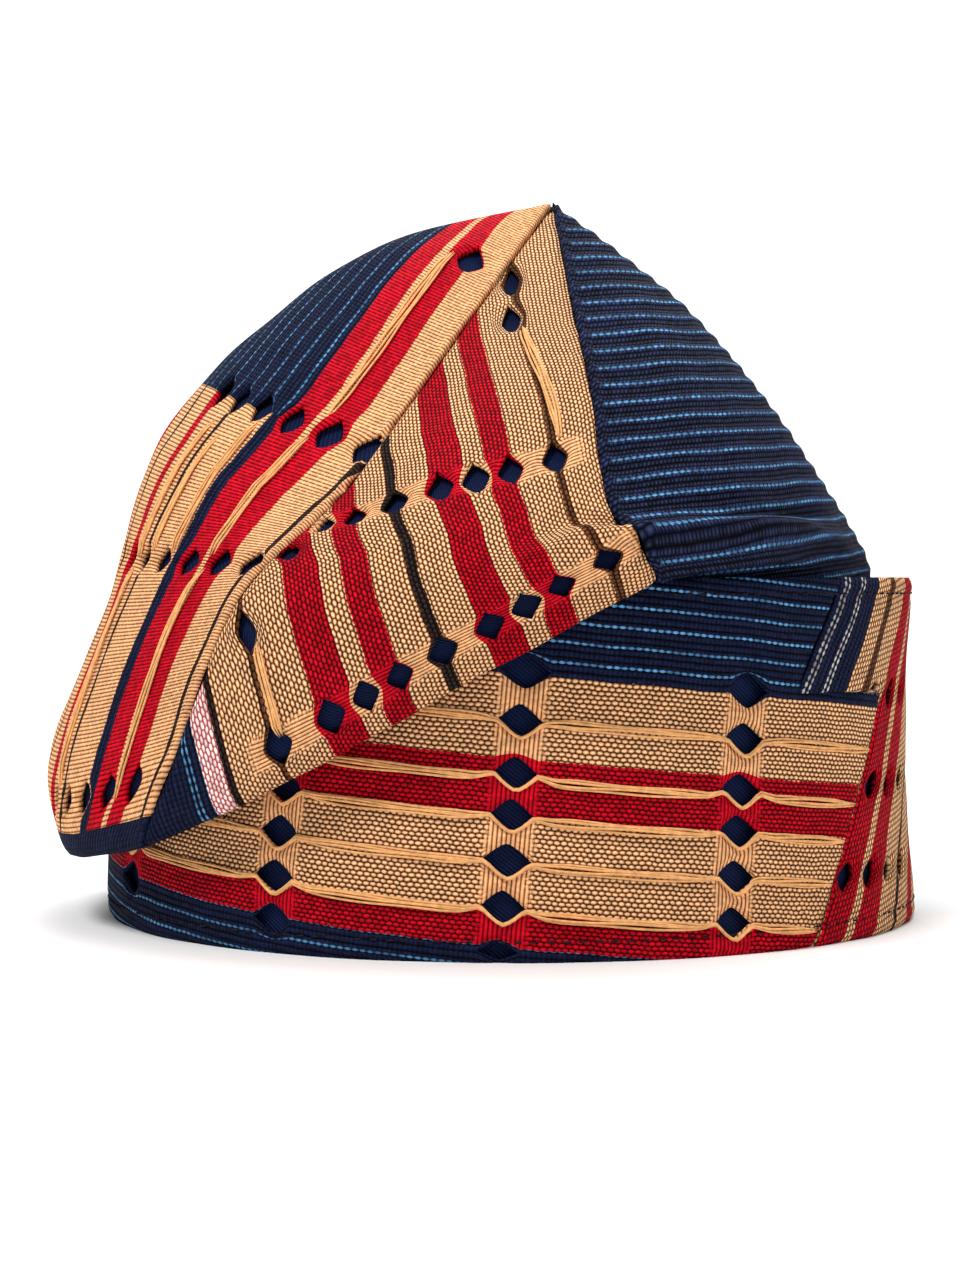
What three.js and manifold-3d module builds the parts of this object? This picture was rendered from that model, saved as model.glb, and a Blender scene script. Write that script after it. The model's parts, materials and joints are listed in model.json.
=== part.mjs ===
// Fila cap of striped openwork strip cloth: an upright band, and a soft crown of four panels that
// rises out of the band, leans towards +X and hangs over the band's front and left side.
// Millimetres, +Z up, front towards -Y, standing on the lower edge of the band.
import * as THREE from 'three';
import Module from 'manifold-3d';

const wasm = await Module();
wasm.setup();

// Driving sizes of the cloth
const CLOTH = 2;
const LINING = 1;
const GAP = 0.4;

// Driving sizes of the band: an oval round the head
const BAND_HALF_WIDTH = 95;
const BAND_HALF_DEPTH = 91;
const BAND_HEIGHT = 78.5;
const BAND_WAIST_SHARE = 0.65;
const BAND_SEAM_BACK = 150;
const BAND_SEAM_SIDE_FOOT = 316;
const BAND_SEAM_SIDE_HEAD = 322;
const STRIPE_FALL = 0.095;

// Driving sizes of the crown: its upright axis stands right of the band's middle
const CROWN_AXIS_X = 9.5;
const CROWN_TIP_HEIGHT = 166.5;
const CROWN_TIP_OPENING = 10.95;
const TAIL_LENGTH = 20;
const FOLD_ROLL = 3.6;

// Half sizes of one gap of the openwork, along and across the stripe it opens
const GAP_HALF_LENGTH = 4.2;
const GAP_HALF_WIDTH = 3.1;

// Where the middle of the band's oval stands when the whole cap is centred on the origin
const CENTRE_X = 7.5;
const CENTRE_Y = 1.45;

// How far the band's wall draws in from its foot, at the waist and at the rim, round the oval
const BAND_INSETS = [
  { angle: 0, waist: 2.5, rim: 1 },
  { angle: 45, waist: 2, rim: 2 },
  { angle: 90, waist: 2, rim: 4 },
  { angle: 135, waist: 3, rim: 8 },
  { angle: 180, waist: 4, rim: 12 },
  { angle: 225, waist: 3, rim: 9 },
  { angle: 270, waist: 1.5, rim: 2.5 },
  { angle: 315, waist: 2, rim: 1 },
];

// The crown's sections, counter-clockwise from the front seam. Each row is one upright section: its
// azimuth at the fold, waist and brow; how it leaves the band; how far its fold stands outside the
// band, and the heights and radii that its wall passes on the way up to the tip.
const CROWN_COLUMNS = [
  'seam', 'way', 'azFold', 'azWaist', 'azBrow', 'foldOut', 'foldZ',
  'hipR', 'hipZ', 'waistR', 'waistZ', 'shoulderR', 'shoulderZ', 'browR', 'browZ',
];
const CROWN_SECTIONS = [
  ['front_right', 'over', 281, 275.5, 274, 8.5, 78.5, 103, 84, 96, 92, 71, 118, 36, 143],
  ['', 'over', 297, 294, 294, 5, 82, 93, 86, 88, 93, 67, 117, 36, 142],
  ['', 'rise', 318, 318, 318, -6, 83, 79, 86, 76, 93, 61, 115, 35, 140],
  ['', 'inside', 340, 340, 340, -10, 79, 74, 83, 69, 92, 56, 112, 33.5, 139],
  ['right_back', 'inside', 362, 362, 362, -10, 79, 74, 83, 69, 92, 57, 110, 34, 138],
  ['', 'inside', 398, 398, 398, -10, 79, 76, 83, 71, 92, 60, 110, 35, 138],
  ['', 'rise', 430, 430, 430, -6, 83, 82, 86, 79, 94, 66, 113, 36, 140],
  ['', 'over', 455, 455, 455, 8, 77, 98, 83, 93, 93, 73, 115, 39, 141],
  ['', 'hang', 477, 477, 477, 8, 55, 107, 66, 100, 84, 83, 108, 43, 142],
  ['back_left', 'hang', 499, 499, 499, 8, 37, 115, 48, 105, 75, 89, 105, 44, 145],
  ['', 'hang', 519, 519, 520, 8, 26, 118, 39, 104, 74, 91, 110, 45, 151],
  ['', 'hang', 538, 540, 544, 8, 19.5, 118.5, 33, 104, 72, 91, 112, 45, 153.5],
  ['', 'hang', 557, 566, 576, 9, 16.5, 116, 33, 105, 72, 88, 105, 42, 146],
  ['left_front', 'hang', 577, 591, 601, 10, 22, 111.5, 42, 106, 74, 84, 95, 37, 138],
  ['', 'hang', 591, 601, 608, 9, 32, 108.5, 47, 103.5, 76, 81, 100, 37, 139],
  ['', 'hang', 606, 612, 616, 8.5, 46, 105.5, 58, 101, 80, 78, 107, 37, 140],
  ['', 'hang', 622, 624, 626, 8.5, 61.5, 102.5, 70.5, 98.5, 85, 74, 113, 36.5, 142],
];

// Rows of openwork gaps: on the crown at a ring of the wall (6 the fold, 7 the hip, 8 the waist,
// 9 the shoulder, 10 the brow), each at distances along that ring from the panel's first seam.
// lean is how much the ring changes from one gap to the next.
const CROWN_GAP_ROWS = [
  {
    panel: 'crown_front_panel', ring: 7.1, lean: -0.045,
    at: [6.6, 17.2, 25, 33, 44.1, 53.8, 61.6, 70.6, 85],
  },
  { panel: 'crown_front_panel', ring: 8.55, lean: 0.02, at: [9.9, 19.8, 27.5, 35.2, 44.6, 54, 61.8] },
  { panel: 'crown_front_panel', ring: 8.4, lean: 0, at: [67] },
  { panel: 'crown_front_panel', ring: 7.75, lean: 0, at: [80] },
  { panel: 'crown_front_panel', ring: 9.82, lean: 0, at: [14] },
  { panel: 'crown_front_panel', ring: 10.2, lean: 0, at: [12.5] },
  { panel: 'crown_left_panel', ring: 7, lean: 0, at: [13, 23.5, 34, 44.5, 55] },
  { panel: 'crown_left_panel', ring: 8.3, lean: 0, at: [5, 15.5, 26, 36.5, 47, 57.5, 68] },
  { panel: 'crown_left_panel', ring: 9.25, lean: 0, at: [5, 15.5, 26, 36.5, 47, 57.5] },
  { panel: 'crown_left_panel', ring: 10.3, lean: 0, at: [13] },
  { panel: 'crown_back_panel', ring: 8.5, lean: 0, at: [12, 23, 34, 45, 56, 67] },
];
// On the band's front: columns spaced along the stripes, each with one gap where two stripes meet
const BAND_GAP_ROWS = [11.2, 20.6, 30.1, 38.7, 49.4, 59.6];
const BAND_GAP_COLUMNS = { first: 49.2, step: -49.5, count: 5 };
// On the band's side: short rows of gaps across its slanting stripes
const SIDE_STRIPE_SLANT = 30;
const SIDE_GAP_ROWS = [
  { height: 14, first: 7.6, step: 10.5, count: 4 },
  { height: 33, first: 20.6, step: 10.5, count: 4 },
  { height: 53, first: 22.6, step: 10.5, count: 3 },
  { height: 14, first: 125.6, step: 10.5, count: 4 },
  { height: 33, first: 131.6, step: 10.5, count: 4 },
  { height: 53, first: 137.6, step: 10.5, count: 4 },
];

const COLOURS = {
  striped: new THREE.MeshStandardMaterial({ color: 0xc99c66, roughness: 0.85, metalness: 0 }),
  navy: new THREE.MeshStandardMaterial({ color: 0x1d2a4d, roughness: 0.8, metalness: 0 }),
  lining: new THREE.MeshStandardMaterial({ color: 0x141d36, roughness: 0.7, metalness: 0 }),
};

const radians = THREE.MathUtils.degToRad;
const lerp = THREE.MathUtils.lerp;

// A smooth value between the rows of a closed table whose angles are evenly spaced.
function roundTable(rows, column, angle) {
  const step = 360 / rows.length;
  const place = THREE.MathUtils.euclideanModulo(angle, 360) / step;
  const row = Math.floor(place);
  const t = place - row;
  const [a, b, c, d] = [-1, 0, 1, 2].map((k) => rows[(row + k + rows.length) % rows.length][column]);
  const cubic = -a + 3 * b - 3 * c + d;
  const square = 2 * a - 5 * b + 4 * c - d;
  return (2 * b + (c - a) * t + square * t * t + cubic * t ** 3) / 2;
}

// The band's outer wall: distance from the oval's middle at an angle and a height.
function bandRadius(angle, height) {
  const c = Math.cos(radians(angle)) / BAND_HALF_WIDTH;
  const s = Math.sin(radians(angle)) / BAND_HALF_DEPTH;
  const h = height / BAND_HEIGHT;
  const waist = roundTable(BAND_INSETS, 'waist', angle);
  const rim = roundTable(BAND_INSETS, 'rim', angle);
  const bow = (waist / BAND_WAIST_SHARE - rim) / (BAND_WAIST_SHARE - 1);
  return 1 / Math.hypot(c, s) - rim * h - bow * h * (h - 1);
}

// A point inside the band's outer wall by a depth.
function bandPoint(angle, height, depth) {
  const r = bandRadius(angle, height) - depth;
  return new THREE.Vector3(r * Math.cos(radians(angle)), r * Math.sin(radians(angle)), height);
}

// The angle on the band's oval that lies a distance along the wall from the middle of the front.
function bandAngleAt(arc, height) {
  const step = Math.sign(arc) * 0.25;
  let angle = 270;
  let gone = 0;
  while (gone < Math.abs(arc)) {
    gone += bandPoint(angle, height, 0).distanceTo(bandPoint(angle + step, height, 0));
    angle += step;
  }
  return angle;
}

// Distance from the crown's axis out to the band's wall, along an azimuth at a height.
function axisToBand(azimuth, height) {
  let near = 40;
  let far = 140;
  for (let i = 0; i < 40; i += 1) {
    const r = (near + far) / 2;
    const x = CROWN_AXIS_X + r * Math.cos(radians(azimuth));
    const y = r * Math.sin(radians(azimuth));
    const angle = THREE.MathUtils.radToDeg(Math.atan2(y, x));
    if (Math.hypot(x, y) < bandRadius(angle, height)) near = r;
    else far = r;
  }
  return near;
}

// The way a section runs from its tail inside the band to its fold, as radius and height pairs.
function wayToFold(row) {
  const rim = axisToBand(row.azFold, BAND_HEIGHT);
  const tailZ = BAND_HEIGHT - TAIL_LENGTH;
  const inside = CLOTH + GAP + LINING + GAP + CLOTH / 2;
  const outside = GAP + CLOTH / 2 + 1.6;
  const tailR = axisToBand(row.azFold, tailZ) - inside - 0.6;
  const foldR = rim + row.foldOut;
  const between = (shareR, shareZ) => [lerp(tailR, foldR, shareR), lerp(tailZ, row.foldZ, shareZ)];
  if (row.way === 'hang') {
    const halfZ = (row.foldZ + BAND_HEIGHT) / 2;
    const hangR = axisToBand(row.azFold, row.foldZ) + row.foldOut;
    return [
      [tailR, tailZ],
      [rim - inside, BAND_HEIGHT - 1.5],
      [rim - 1.6, BAND_HEIGHT + 3.4],
      [rim + outside, BAND_HEIGHT - 0.5],
      [axisToBand(row.azFold, halfZ) + outside + 1.6, halfZ],
      [hangR - FOLD_ROLL, row.foldZ + FOLD_ROLL],
      [hangR, row.foldZ],
    ];
  }
  if (row.way === 'over') {
    return [
      [tailR, tailZ],
      [rim - inside, BAND_HEIGHT - 1.5],
      [rim - 2.6, BAND_HEIGHT + 3.4],
      [rim - 0.3, BAND_HEIGHT + 4.4],
      [lerp(rim, foldR, 0.35), lerp(BAND_HEIGHT + 4.2, row.foldZ, 0.3)],
      [lerp(rim, foldR, 0.7), lerp(BAND_HEIGHT + 3.8, row.foldZ, 0.75)],
      [foldR, row.foldZ],
    ];
  }
  if (row.way === 'rise') {
    const wallR = rim - inside - 0.6;
    return [
      [tailR, tailZ],
      [wallR - 0.2, BAND_HEIGHT - 6],
      [wallR, BAND_HEIGHT - 2],
      [lerp(wallR, foldR, 0.4), BAND_HEIGHT + 0.5],
      [lerp(wallR, foldR, 0.7), BAND_HEIGHT + 2],
      [foldR, BAND_HEIGHT + 3.2],
      [foldR, row.foldZ],
    ];
  }
  return [
    [tailR, tailZ],
    between(0.2, 0.3),
    between(0.4, 0.5),
    between(0.55, 0.65),
    between(0.7, 0.78),
    between(0.85, 0.9),
    [foldR, row.foldZ],
  ];
}

// One upright section of the crown, as the points that its curve passes from tail to tip.
function crownSection(row) {
  const low = wayToFold(row).map(([r, z]) => [row.azFold, r, z]);
  const high = [
    [(row.azFold + row.azWaist) / 2, row.hipR, row.hipZ],
    [row.azWaist, row.waistR, row.waistZ],
    [(row.azWaist + row.azBrow) / 2, row.shoulderR, row.shoulderZ],
    [row.azBrow, row.browR, row.browZ],
    [row.azBrow, 0, CROWN_TIP_HEIGHT],
  ];
  return [...low, ...high].map(([azimuth, r, z]) => new THREE.Vector3(
    CROWN_AXIS_X + r * Math.cos(radians(azimuth)),
    r * Math.sin(radians(azimuth)),
    z,
  ));
}

const crownRows = CROWN_SECTIONS.map((cells) => (
  Object.fromEntries(cells.map((cell, i) => [CROWN_COLUMNS[i], cell]))
));
const crownSections = crownRows.map(crownSection);
const SECTION_COUNT = crownRows.length;
const RING_COUNT = crownSections[0].length;
const seamRow = (name) => crownRows.findIndex((row) => row.seam === name);
const seamRows = crownRows.map((row, i) => (row.seam ? i : -1)).filter((i) => i >= 0);

// Each panel's smooth rings: one curve through its sections for every point along the profile.
const crownSpans = seamRows.map((start, i) => {
  const end = i + 1 < seamRows.length ? seamRows[i + 1] : seamRows[0] + SECTION_COUNT;
  const rows = Array.from({ length: end - start + 1 }, (_, k) => (start + k) % SECTION_COUNT);
  const rings = crownSections[0].map((_, k) => (
    new THREE.CatmullRomCurve3(rows.map((row) => crownSections[row][k]), false, 'catmullrom', 0.5)
  ));
  return { start, end, rings };
});

// A point of the crown's cloth: u counts sections round the crown, v counts rings from tail to tip.
function crownPoint(u, v) {
  const turn = THREE.MathUtils.euclideanModulo(u, SECTION_COUNT);
  const span = crownSpans.find(({ start, end }) => turn >= start && turn <= end);
  const share = (turn - span.start) / (span.end - span.start);
  const profile = span.rings.map((ring) => ring.getPoint(share));
  const rise = THREE.MathUtils.clamp(v / (RING_COUNT - 1), 0, 1);
  return new THREE.CatmullRomCurve3(profile, false, 'centripetal').getPoint(rise);
}

// The two tangents and the outward normal of a surface at a place on it.
function frameAt(pointAt, u, v, reach) {
  const across = pointAt(u + reach, v).sub(pointAt(u - reach, v));
  const along = pointAt(u, v + reach).sub(pointAt(u, v - reach));
  const normal = new THREE.Vector3().crossVectors(across, along).normalize();
  return { point: pointAt(u, v), across, along, normal };
}

// The place along a ring of the crown that lies a distance from a starting section.
function alongRing(start, ring, distance, direction) {
  const step = 0.02 * direction;
  let u = start;
  let gone = 0;
  while (gone < distance) {
    gone += crownPoint(u, ring).distanceTo(crownPoint(u + step, ring));
    u += step;
  }
  return u;
}

// A closed sheet of cloth: a grid of points, each thickened to both sides along its normal.
// closedRound joins the last column to the first, closedTip gathers the last row in one point.
function sheetSolid(grid, thickness, { closedRound = false, closedTip = false } = {}) {
  const columns = grid.length;
  const rows = grid[0].length;
  const points = [];
  const triangles = [];
  const [outer, inner] = [1, -1].map((side) => {
    const index = grid.map((column, i) => column.map(({ point, normal }, j) => {
      if (closedTip && j === rows - 1 && i > 0) return -1;
      return points.push(point.clone().addScaledVector(normal, (side * thickness) / 2)) - 1;
    }));
    if (closedTip) index.forEach((column) => column.splice(rows - 1, 1, index[0][rows - 1]));
    return index;
  });
  const quad = (a, b, c, d) => {
    if (a !== b && b !== c && c !== a) triangles.push(a, b, c);
    if (a !== c && c !== d && d !== a) triangles.push(a, c, d);
  };
  const last = closedRound ? columns : columns - 1;
  for (let i = 0; i < last; i += 1) {
    const n = (i + 1) % columns;
    for (let j = 0; j < rows - 1; j += 1) {
      quad(outer[i][j], outer[n][j], outer[n][j + 1], outer[i][j + 1]);
      quad(inner[i][j], inner[i][j + 1], inner[n][j + 1], inner[n][j]);
    }
    quad(inner[i][0], inner[n][0], outer[n][0], outer[i][0]);
    if (!closedTip) quad(outer[i][rows - 1], outer[n][rows - 1], inner[n][rows - 1], inner[i][rows - 1]);
  }
  if (!closedRound) {
    const end = columns - 1;
    for (let j = 0; j < rows - 1; j += 1) {
      quad(inner[0][j], outer[0][j], outer[0][j + 1], inner[0][j + 1]);
      quad(outer[end][j], inner[end][j], inner[end][j + 1], outer[end][j + 1]);
    }
  }
  return solidFrom(points, triangles);
}

function solidFrom(points, triangles) {
  return new wasm.Manifold(new wasm.Mesh({
    numProp: 3,
    vertProperties: new Float32Array(points.flatMap((p) => p.toArray())),
    triVerts: new Uint32Array(triangles),
  }));
}

// One six-sided cutter that opens the cloth at a place, longer along the stripe than across it.
function gapCutter(point, normal, stripe) {
  const along = stripe.clone().normalize();
  const across = new THREE.Vector3().crossVectors(normal, along).normalize();
  const corners = Array.from({ length: 6 }, (_, k) => {
    const angle = radians(60 * k);
    return [GAP_HALF_LENGTH * Math.cos(angle), (GAP_HALF_WIDTH / Math.sin(radians(60))) * Math.sin(angle)];
  });
  const points = [-CLOTH, CLOTH].flatMap((depth) => corners.map(([a, b]) => point.clone()
    .addScaledVector(along, a).addScaledVector(across, b).addScaledVector(normal, depth)));
  const triangles = [];
  for (let k = 0; k < 6; k += 1) {
    const n = (k + 1) % 6;
    triangles.push(k, n, 6 + n, k, 6 + n, 6 + k);
    if (k > 0 && k < 5) triangles.push(0, k + 1, k, 6, 6 + k, 6 + k + 1);
  }
  return solidFrom(points, triangles);
}

function meshOf(name, solid, material) {
  const data = solid.getMesh();
  const geometry = new THREE.BufferGeometry();
  const positions = new Float32Array(data.numVert * 3);
  for (let i = 0; i < data.numVert; i += 1) {
    for (let k = 0; k < 3; k += 1) positions[3 * i + k] = data.vertProperties[data.numProp * i + k];
  }
  geometry.setAttribute('position', new THREE.BufferAttribute(positions, 3));
  geometry.setIndex(Array.from(data.triVerts));
  geometry.computeVertexNormals();
  const mesh = new THREE.Mesh(geometry, material);
  mesh.name = name;
  return mesh;
}

function cutGaps(solid, cutters) {
  return cutters.length ? solid.subtract(wasm.Manifold.union(cutters)) : solid;
}

const evenly = (from, to, steps) => Array.from({ length: steps + 1 }, (_, i) => lerp(from, to, i / steps));

// The crown's four panels, each between two seams
const CROWN_PANELS = [
  {
    name: 'crown_right_panel', from: 'front_right', to: 'right_back', direction: 1,
    material: COLOURS.navy,
  },
  {
    name: 'crown_back_panel', from: 'right_back', to: 'back_left', direction: 1,
    material: COLOURS.striped,
  },
  {
    name: 'crown_left_panel', from: 'back_left', to: 'left_front', direction: -1,
    material: COLOURS.striped,
  },
  {
    name: 'crown_front_panel', from: 'left_front', to: 'front_right', direction: -1,
    material: COLOURS.striped,
  },
];
const CROWN_STEPS = 2.5;
const FOLD_RING = 6;
const CREASE_GAP = { atFold: 2, above: 0.7 };
const CROWN_RINGS = [
  0, 1, 1.6, 2.4, 3, 4, 5, 5.5, 6, 6.5, 7, 7.6, 8.2, 8.8, 9.4, 10, 10.5, CROWN_TIP_OPENING,
];

// The places round the crown where a panel's columns stand, from its first seam to its last
function panelColumns({ from, to }) {
  const start = seamRow(from);
  const end = seamRow(to) > start ? seamRow(to) : seamRow(to) + SECTION_COUNT;
  return evenly(start, end, Math.round((end - start) * CROWN_STEPS));
}

function crownPanel({ name, from, to, direction, material }) {
  const columns = panelColumns({ from, to });
  const [start, end] = [columns[0], columns[columns.length - 1]];
  const seamGap = (seam, v) => {
    if (seam !== 'left_front') return GAP / 2;
    return (Math.abs(v - FOLD_RING) <= 1 ? CREASE_GAP.atFold : CREASE_GAP.above) / 2;
  };
  const grid = columns.map((u, i) => CROWN_RINGS.map((v) => {
    const { point, across, normal } = frameAt(crownPoint, u, v, 0.02);
    if (i === 0) point.addScaledVector(across.normalize(), seamGap(from, v));
    if (i === columns.length - 1) point.addScaledVector(across.normalize(), -seamGap(to, v));
    return { point, normal };
  }));
  const first = direction > 0 ? start : end;
  const cutters = CROWN_GAP_ROWS.filter((row) => row.panel === name).flatMap((row) => (
    row.at.map((distance, k) => {
      const ring = row.ring + k * row.lean;
      const u = alongRing(first, ring, distance, direction);
      const { point, along, normal } = frameAt(crownPoint, u, ring, 0.02);
      return gapCutter(point, normal, along);
    })
  ));
  return meshOf(name, cutGaps(sheetSolid(grid, CLOTH), cutters), material);
}

// The crown's lining: one dome just inside the outer cloth, open below. Its lower edge stands at a
// ring that keeps it clear of the turned-under cloth, whichever way the section leaves the band.
const LINING_FOOT_RING = { hang: 6.6, over: 7.5, rise: 7.4, inside: 7 };
const LINING_RINGS = [7.6, 8.2, 8.8, 9.4, 10, 10.5, RING_COUNT - 1];

function crownLining() {
  const depth = CLOTH / 2 + GAP + 0.1 + LINING / 2;
  const columns = CROWN_PANELS.flatMap((panel) => panelColumns(panel).slice(0, -1));
  const grid = columns.map((u) => {
    const [before, after] = [Math.floor(u), Math.ceil(u) % SECTION_COUNT].map((i) => crownRows[i].way);
    const foot = lerp(LINING_FOOT_RING[before], LINING_FOOT_RING[after], u - Math.floor(u));
    return [foot, ...LINING_RINGS].map((v) => {
      if (v === RING_COUNT - 1) {
        const tip = new THREE.Vector3(CROWN_AXIS_X, 0, CROWN_TIP_HEIGHT - 2 * depth);
        return { point: tip, normal: new THREE.Vector3(0, 0, 1) };
      }
      const { point, normal } = frameAt(crownPoint, u, v, 0.02);
      return { point: point.addScaledVector(normal, -depth), normal };
    });
  });
  const shell = sheetSolid(grid, LINING, { closedRound: true, closedTip: true });
  return meshOf('crown_lining', shell, COLOURS.lining);
}

// The band's wall between two seams whose angles may differ at foot and head
const BAND_LEVELS = [0, 0.6, 1].map((share) => share * BAND_HEIGHT);

function bandWall(fromAngle, toAngle, steps, levels, depth, thickness, closedRound = false) {
  const share = (z) => z / BAND_HEIGHT;
  const grid = evenly(0, 1, steps).slice(0, closedRound ? -1 : undefined).map((t) => levels.map((z) => {
    const angle = lerp(fromAngle(share(z)), toAngle(share(z)), t);
    const point = bandPoint(angle, z, depth + thickness / 2);
    const ahead = bandPoint(angle + 0.1, z, depth + thickness / 2);
    const normal = new THREE.Vector3(ahead.y - point.y, point.x - ahead.x, 0).normalize();
    return { point, normal };
  }));
  return sheetSolid(grid, thickness, { closedRound });
}

const seamGapAngle = THREE.MathUtils.radToDeg(GAP / 2 / BAND_HALF_DEPTH);
const sideSeam = (share) => lerp(BAND_SEAM_SIDE_FOOT, BAND_SEAM_SIDE_HEAD, share);

function bandCutter(angle, height, stripeRise) {
  const surface = (a, z) => bandPoint(a, z, CLOTH / 2);
  const { point, across, normal } = frameAt(surface, angle, height, 0.2);
  const up = new THREE.Vector3(0, 0, 1);
  const stripe = across.normalize().multiplyScalar(Math.cos(stripeRise));
  stripe.addScaledVector(up, Math.sin(stripeRise));
  return gapCutter(point, normal, stripe);
}

function bandFrontPanel() {
  const wall = bandWall(
    () => BAND_SEAM_BACK + seamGapAngle,
    (share) => sideSeam(share) - seamGapAngle,
    26, BAND_LEVELS, 0, CLOTH,
  );
  const { first, step, count } = BAND_GAP_COLUMNS;
  const cutters = Array.from({ length: count }, (_, k) => first + k * step).flatMap((stripeArc) => (
    BAND_GAP_ROWS.map((row) => {
      const arc = stripeArc + STRIPE_FALL * (row - BAND_HEIGHT / 2);
      const height = row - STRIPE_FALL * arc;
      return bandCutter(bandAngleAt(arc, height), height, -Math.atan(STRIPE_FALL));
    })
  ));
  return meshOf('band_front_panel', cutGaps(wall, cutters), COLOURS.striped);
}

function bandSidePanel() {
  const wall = bandWall(
    (share) => sideSeam(share) + seamGapAngle,
    () => BAND_SEAM_BACK + 360 - seamGapAngle,
    30, BAND_LEVELS, 0, CLOTH,
  );
  const seamArc = radians(BAND_SEAM_SIDE_FOOT - 270) * BAND_HALF_DEPTH;
  const cutters = SIDE_GAP_ROWS.flatMap(({ height, first, step, count }) => (
    Array.from({ length: count }, (_, k) => {
      const arc = seamArc + first + k * step;
      return bandCutter(bandAngleAt(arc, height), height, radians(90 - SIDE_STRIPE_SLANT));
    })
  ));
  return meshOf('band_side_panel', cutGaps(wall, cutters), COLOURS.striped);
}

// The band's lining: a plain ring just inside the outer cloth, short of both edges
function bandLining() {
  const levels = [0.01, 0.6, 0.97].map((share) => share * BAND_HEIGHT);
  const ring = bandWall(() => 0, () => 360, 40, levels, CLOTH + GAP, LINING, true);
  return meshOf('band_lining', ring, COLOURS.lining);
}

const group = new THREE.Group();
group.name = 'fila_cap';
group.add(bandFrontPanel(), bandSidePanel(), bandLining());
CROWN_PANELS.forEach((panel) => group.add(crownPanel(panel)));
group.add(crownLining());
group.children.forEach((mesh) => mesh.geometry.translate(CENTRE_X, CENTRE_Y, 0));

export default group;
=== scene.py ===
"""Looks of a fila cap: striped openwork strip cloth, navy ribbed cloth, linings, float yarns and stitches.

Sizes are in millimetres in the cap's own frame (the middle of the band's oval, at its lower edge)
until a mesh is finished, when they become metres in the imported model's frame.
"""
import json
import logging
import math
from dataclasses import dataclass, field, replace
from enum import Enum
from functools import partialmethod
from typing import Callable, Sequence

import bmesh
import bpy
import numpy as np
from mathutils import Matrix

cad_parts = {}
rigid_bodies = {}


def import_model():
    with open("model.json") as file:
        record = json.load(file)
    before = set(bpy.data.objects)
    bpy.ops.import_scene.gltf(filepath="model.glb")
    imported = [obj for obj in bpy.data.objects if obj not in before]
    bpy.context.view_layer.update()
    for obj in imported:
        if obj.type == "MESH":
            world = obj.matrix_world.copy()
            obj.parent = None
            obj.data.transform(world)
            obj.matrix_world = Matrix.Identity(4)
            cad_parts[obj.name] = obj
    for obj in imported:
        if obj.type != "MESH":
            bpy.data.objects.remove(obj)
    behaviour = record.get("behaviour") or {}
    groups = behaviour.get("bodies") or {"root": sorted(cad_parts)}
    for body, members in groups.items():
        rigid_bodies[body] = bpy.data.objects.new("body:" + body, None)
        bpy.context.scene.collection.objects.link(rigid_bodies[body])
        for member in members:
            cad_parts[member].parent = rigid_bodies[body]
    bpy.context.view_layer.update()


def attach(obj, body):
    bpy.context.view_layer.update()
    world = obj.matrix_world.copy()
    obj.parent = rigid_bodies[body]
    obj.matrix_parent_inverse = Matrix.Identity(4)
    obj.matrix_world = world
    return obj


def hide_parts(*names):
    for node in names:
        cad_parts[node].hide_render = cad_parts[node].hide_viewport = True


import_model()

log = logging.getLogger("fila_cap")

MM = 0.001
MM_PER_METRE = 1000.0
CENTRE = np.array([7.5, 1.45, 0.0])
UP = np.array([0.0, 0.0, 1.0])
FULL_TURN = 360.0
FRONT_ANGLE = 270.0

# Cloth: thickness, how far its face stands out, and how its surface swells and rolls in at a gap.
CLOTH = 1.6
CLOTH_FACE = 0.9
SWELL_REACH = 34.0
ROLL_DEPTH = 0.75
ROLL_REACH = 1.1
WIDEST_REACH = 4.8
CORD_DEPTH = 0.24

# Insets of the band's cloth and lining, and the turned edges of the crown's panels.
LINING = 0.8
WALL_INSET = -1.0
LINING_INSET = 1.75
LIP_TUCK = 1.7
FAR_LIP_REACH = 2.2

# Mesh work, in grid units or metres.
GRID_SIZE = 0.5
WELD = 0.00002
SPECK = 1e-11

CLOTH_SHINE = 0.05
CLOTH_ROUGHNESS = 0.8

Array = np.ndarray
Socket = bpy.types.NodeSocket
Material = bpy.types.Material
Piece = bpy.types.Object
Laid = tuple[Array, Array, Array, Array]
Mapping = Callable[[Array, Array], Laid]


def smooth_step(low: float, high: float, value: Array) -> Array:
    """A smooth rise from 0 at low to 1 at high."""
    t = np.clip((value - low) / (high - low), 0.0, 1.0)
    return t * t * (3.0 - 2.0 * t)


def fade(low: float, high: float, value: Array) -> Array:
    """A smooth fall from 1 at low to 0 at high."""
    return 1.0 - smooth_step(low, high, value)


def hump(value: Array, middle: float, width: float) -> Array:
    """A rounded rise to 1 at the middle."""
    return np.exp(-(((value - middle) / width) ** 2))


def between(start: float, end: float, share: float) -> float:
    """A number a share of the way from start to end."""
    return start + (end - start) * share


def through_points(a: Array, b: Array, c: Array, d: Array, t: Array) -> Array:
    """A smooth curve from b to c, led by the neighbours a and d."""
    return (2 * b + (c - a) * t + (2 * a - 5 * b + 4 * c - d) * t**2 + (-a + 3 * b - 3 * c + d) * t**3) / 2


def ripple(points: Array, reach: float, seed: float) -> Array:
    """A soft unevenness of the cloth, from -1 to 1, that depends only on the place.

    Args:
        points: places in millimetres, one a row.
        reach: about how far one swell is from the next, in millimetres.
        seed: shifts the pattern, so that two panels differ.

    Returns:
        One value a point.
    """
    k = 2.0 * math.pi / reach
    x, y, z = points[:, 0] + seed, points[:, 1] - 2.0 * seed, points[:, 2] + 3.0 * seed
    first = np.sin(k * (x + 0.6 * z)) * np.cos(k * (0.7 * y - 0.5 * z))
    second = np.sin(1.9 * k * (0.8 * y + 0.4 * x)) * np.cos(1.7 * k * (z - 0.3 * x))
    return 0.65 * first + 0.35 * second


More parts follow.
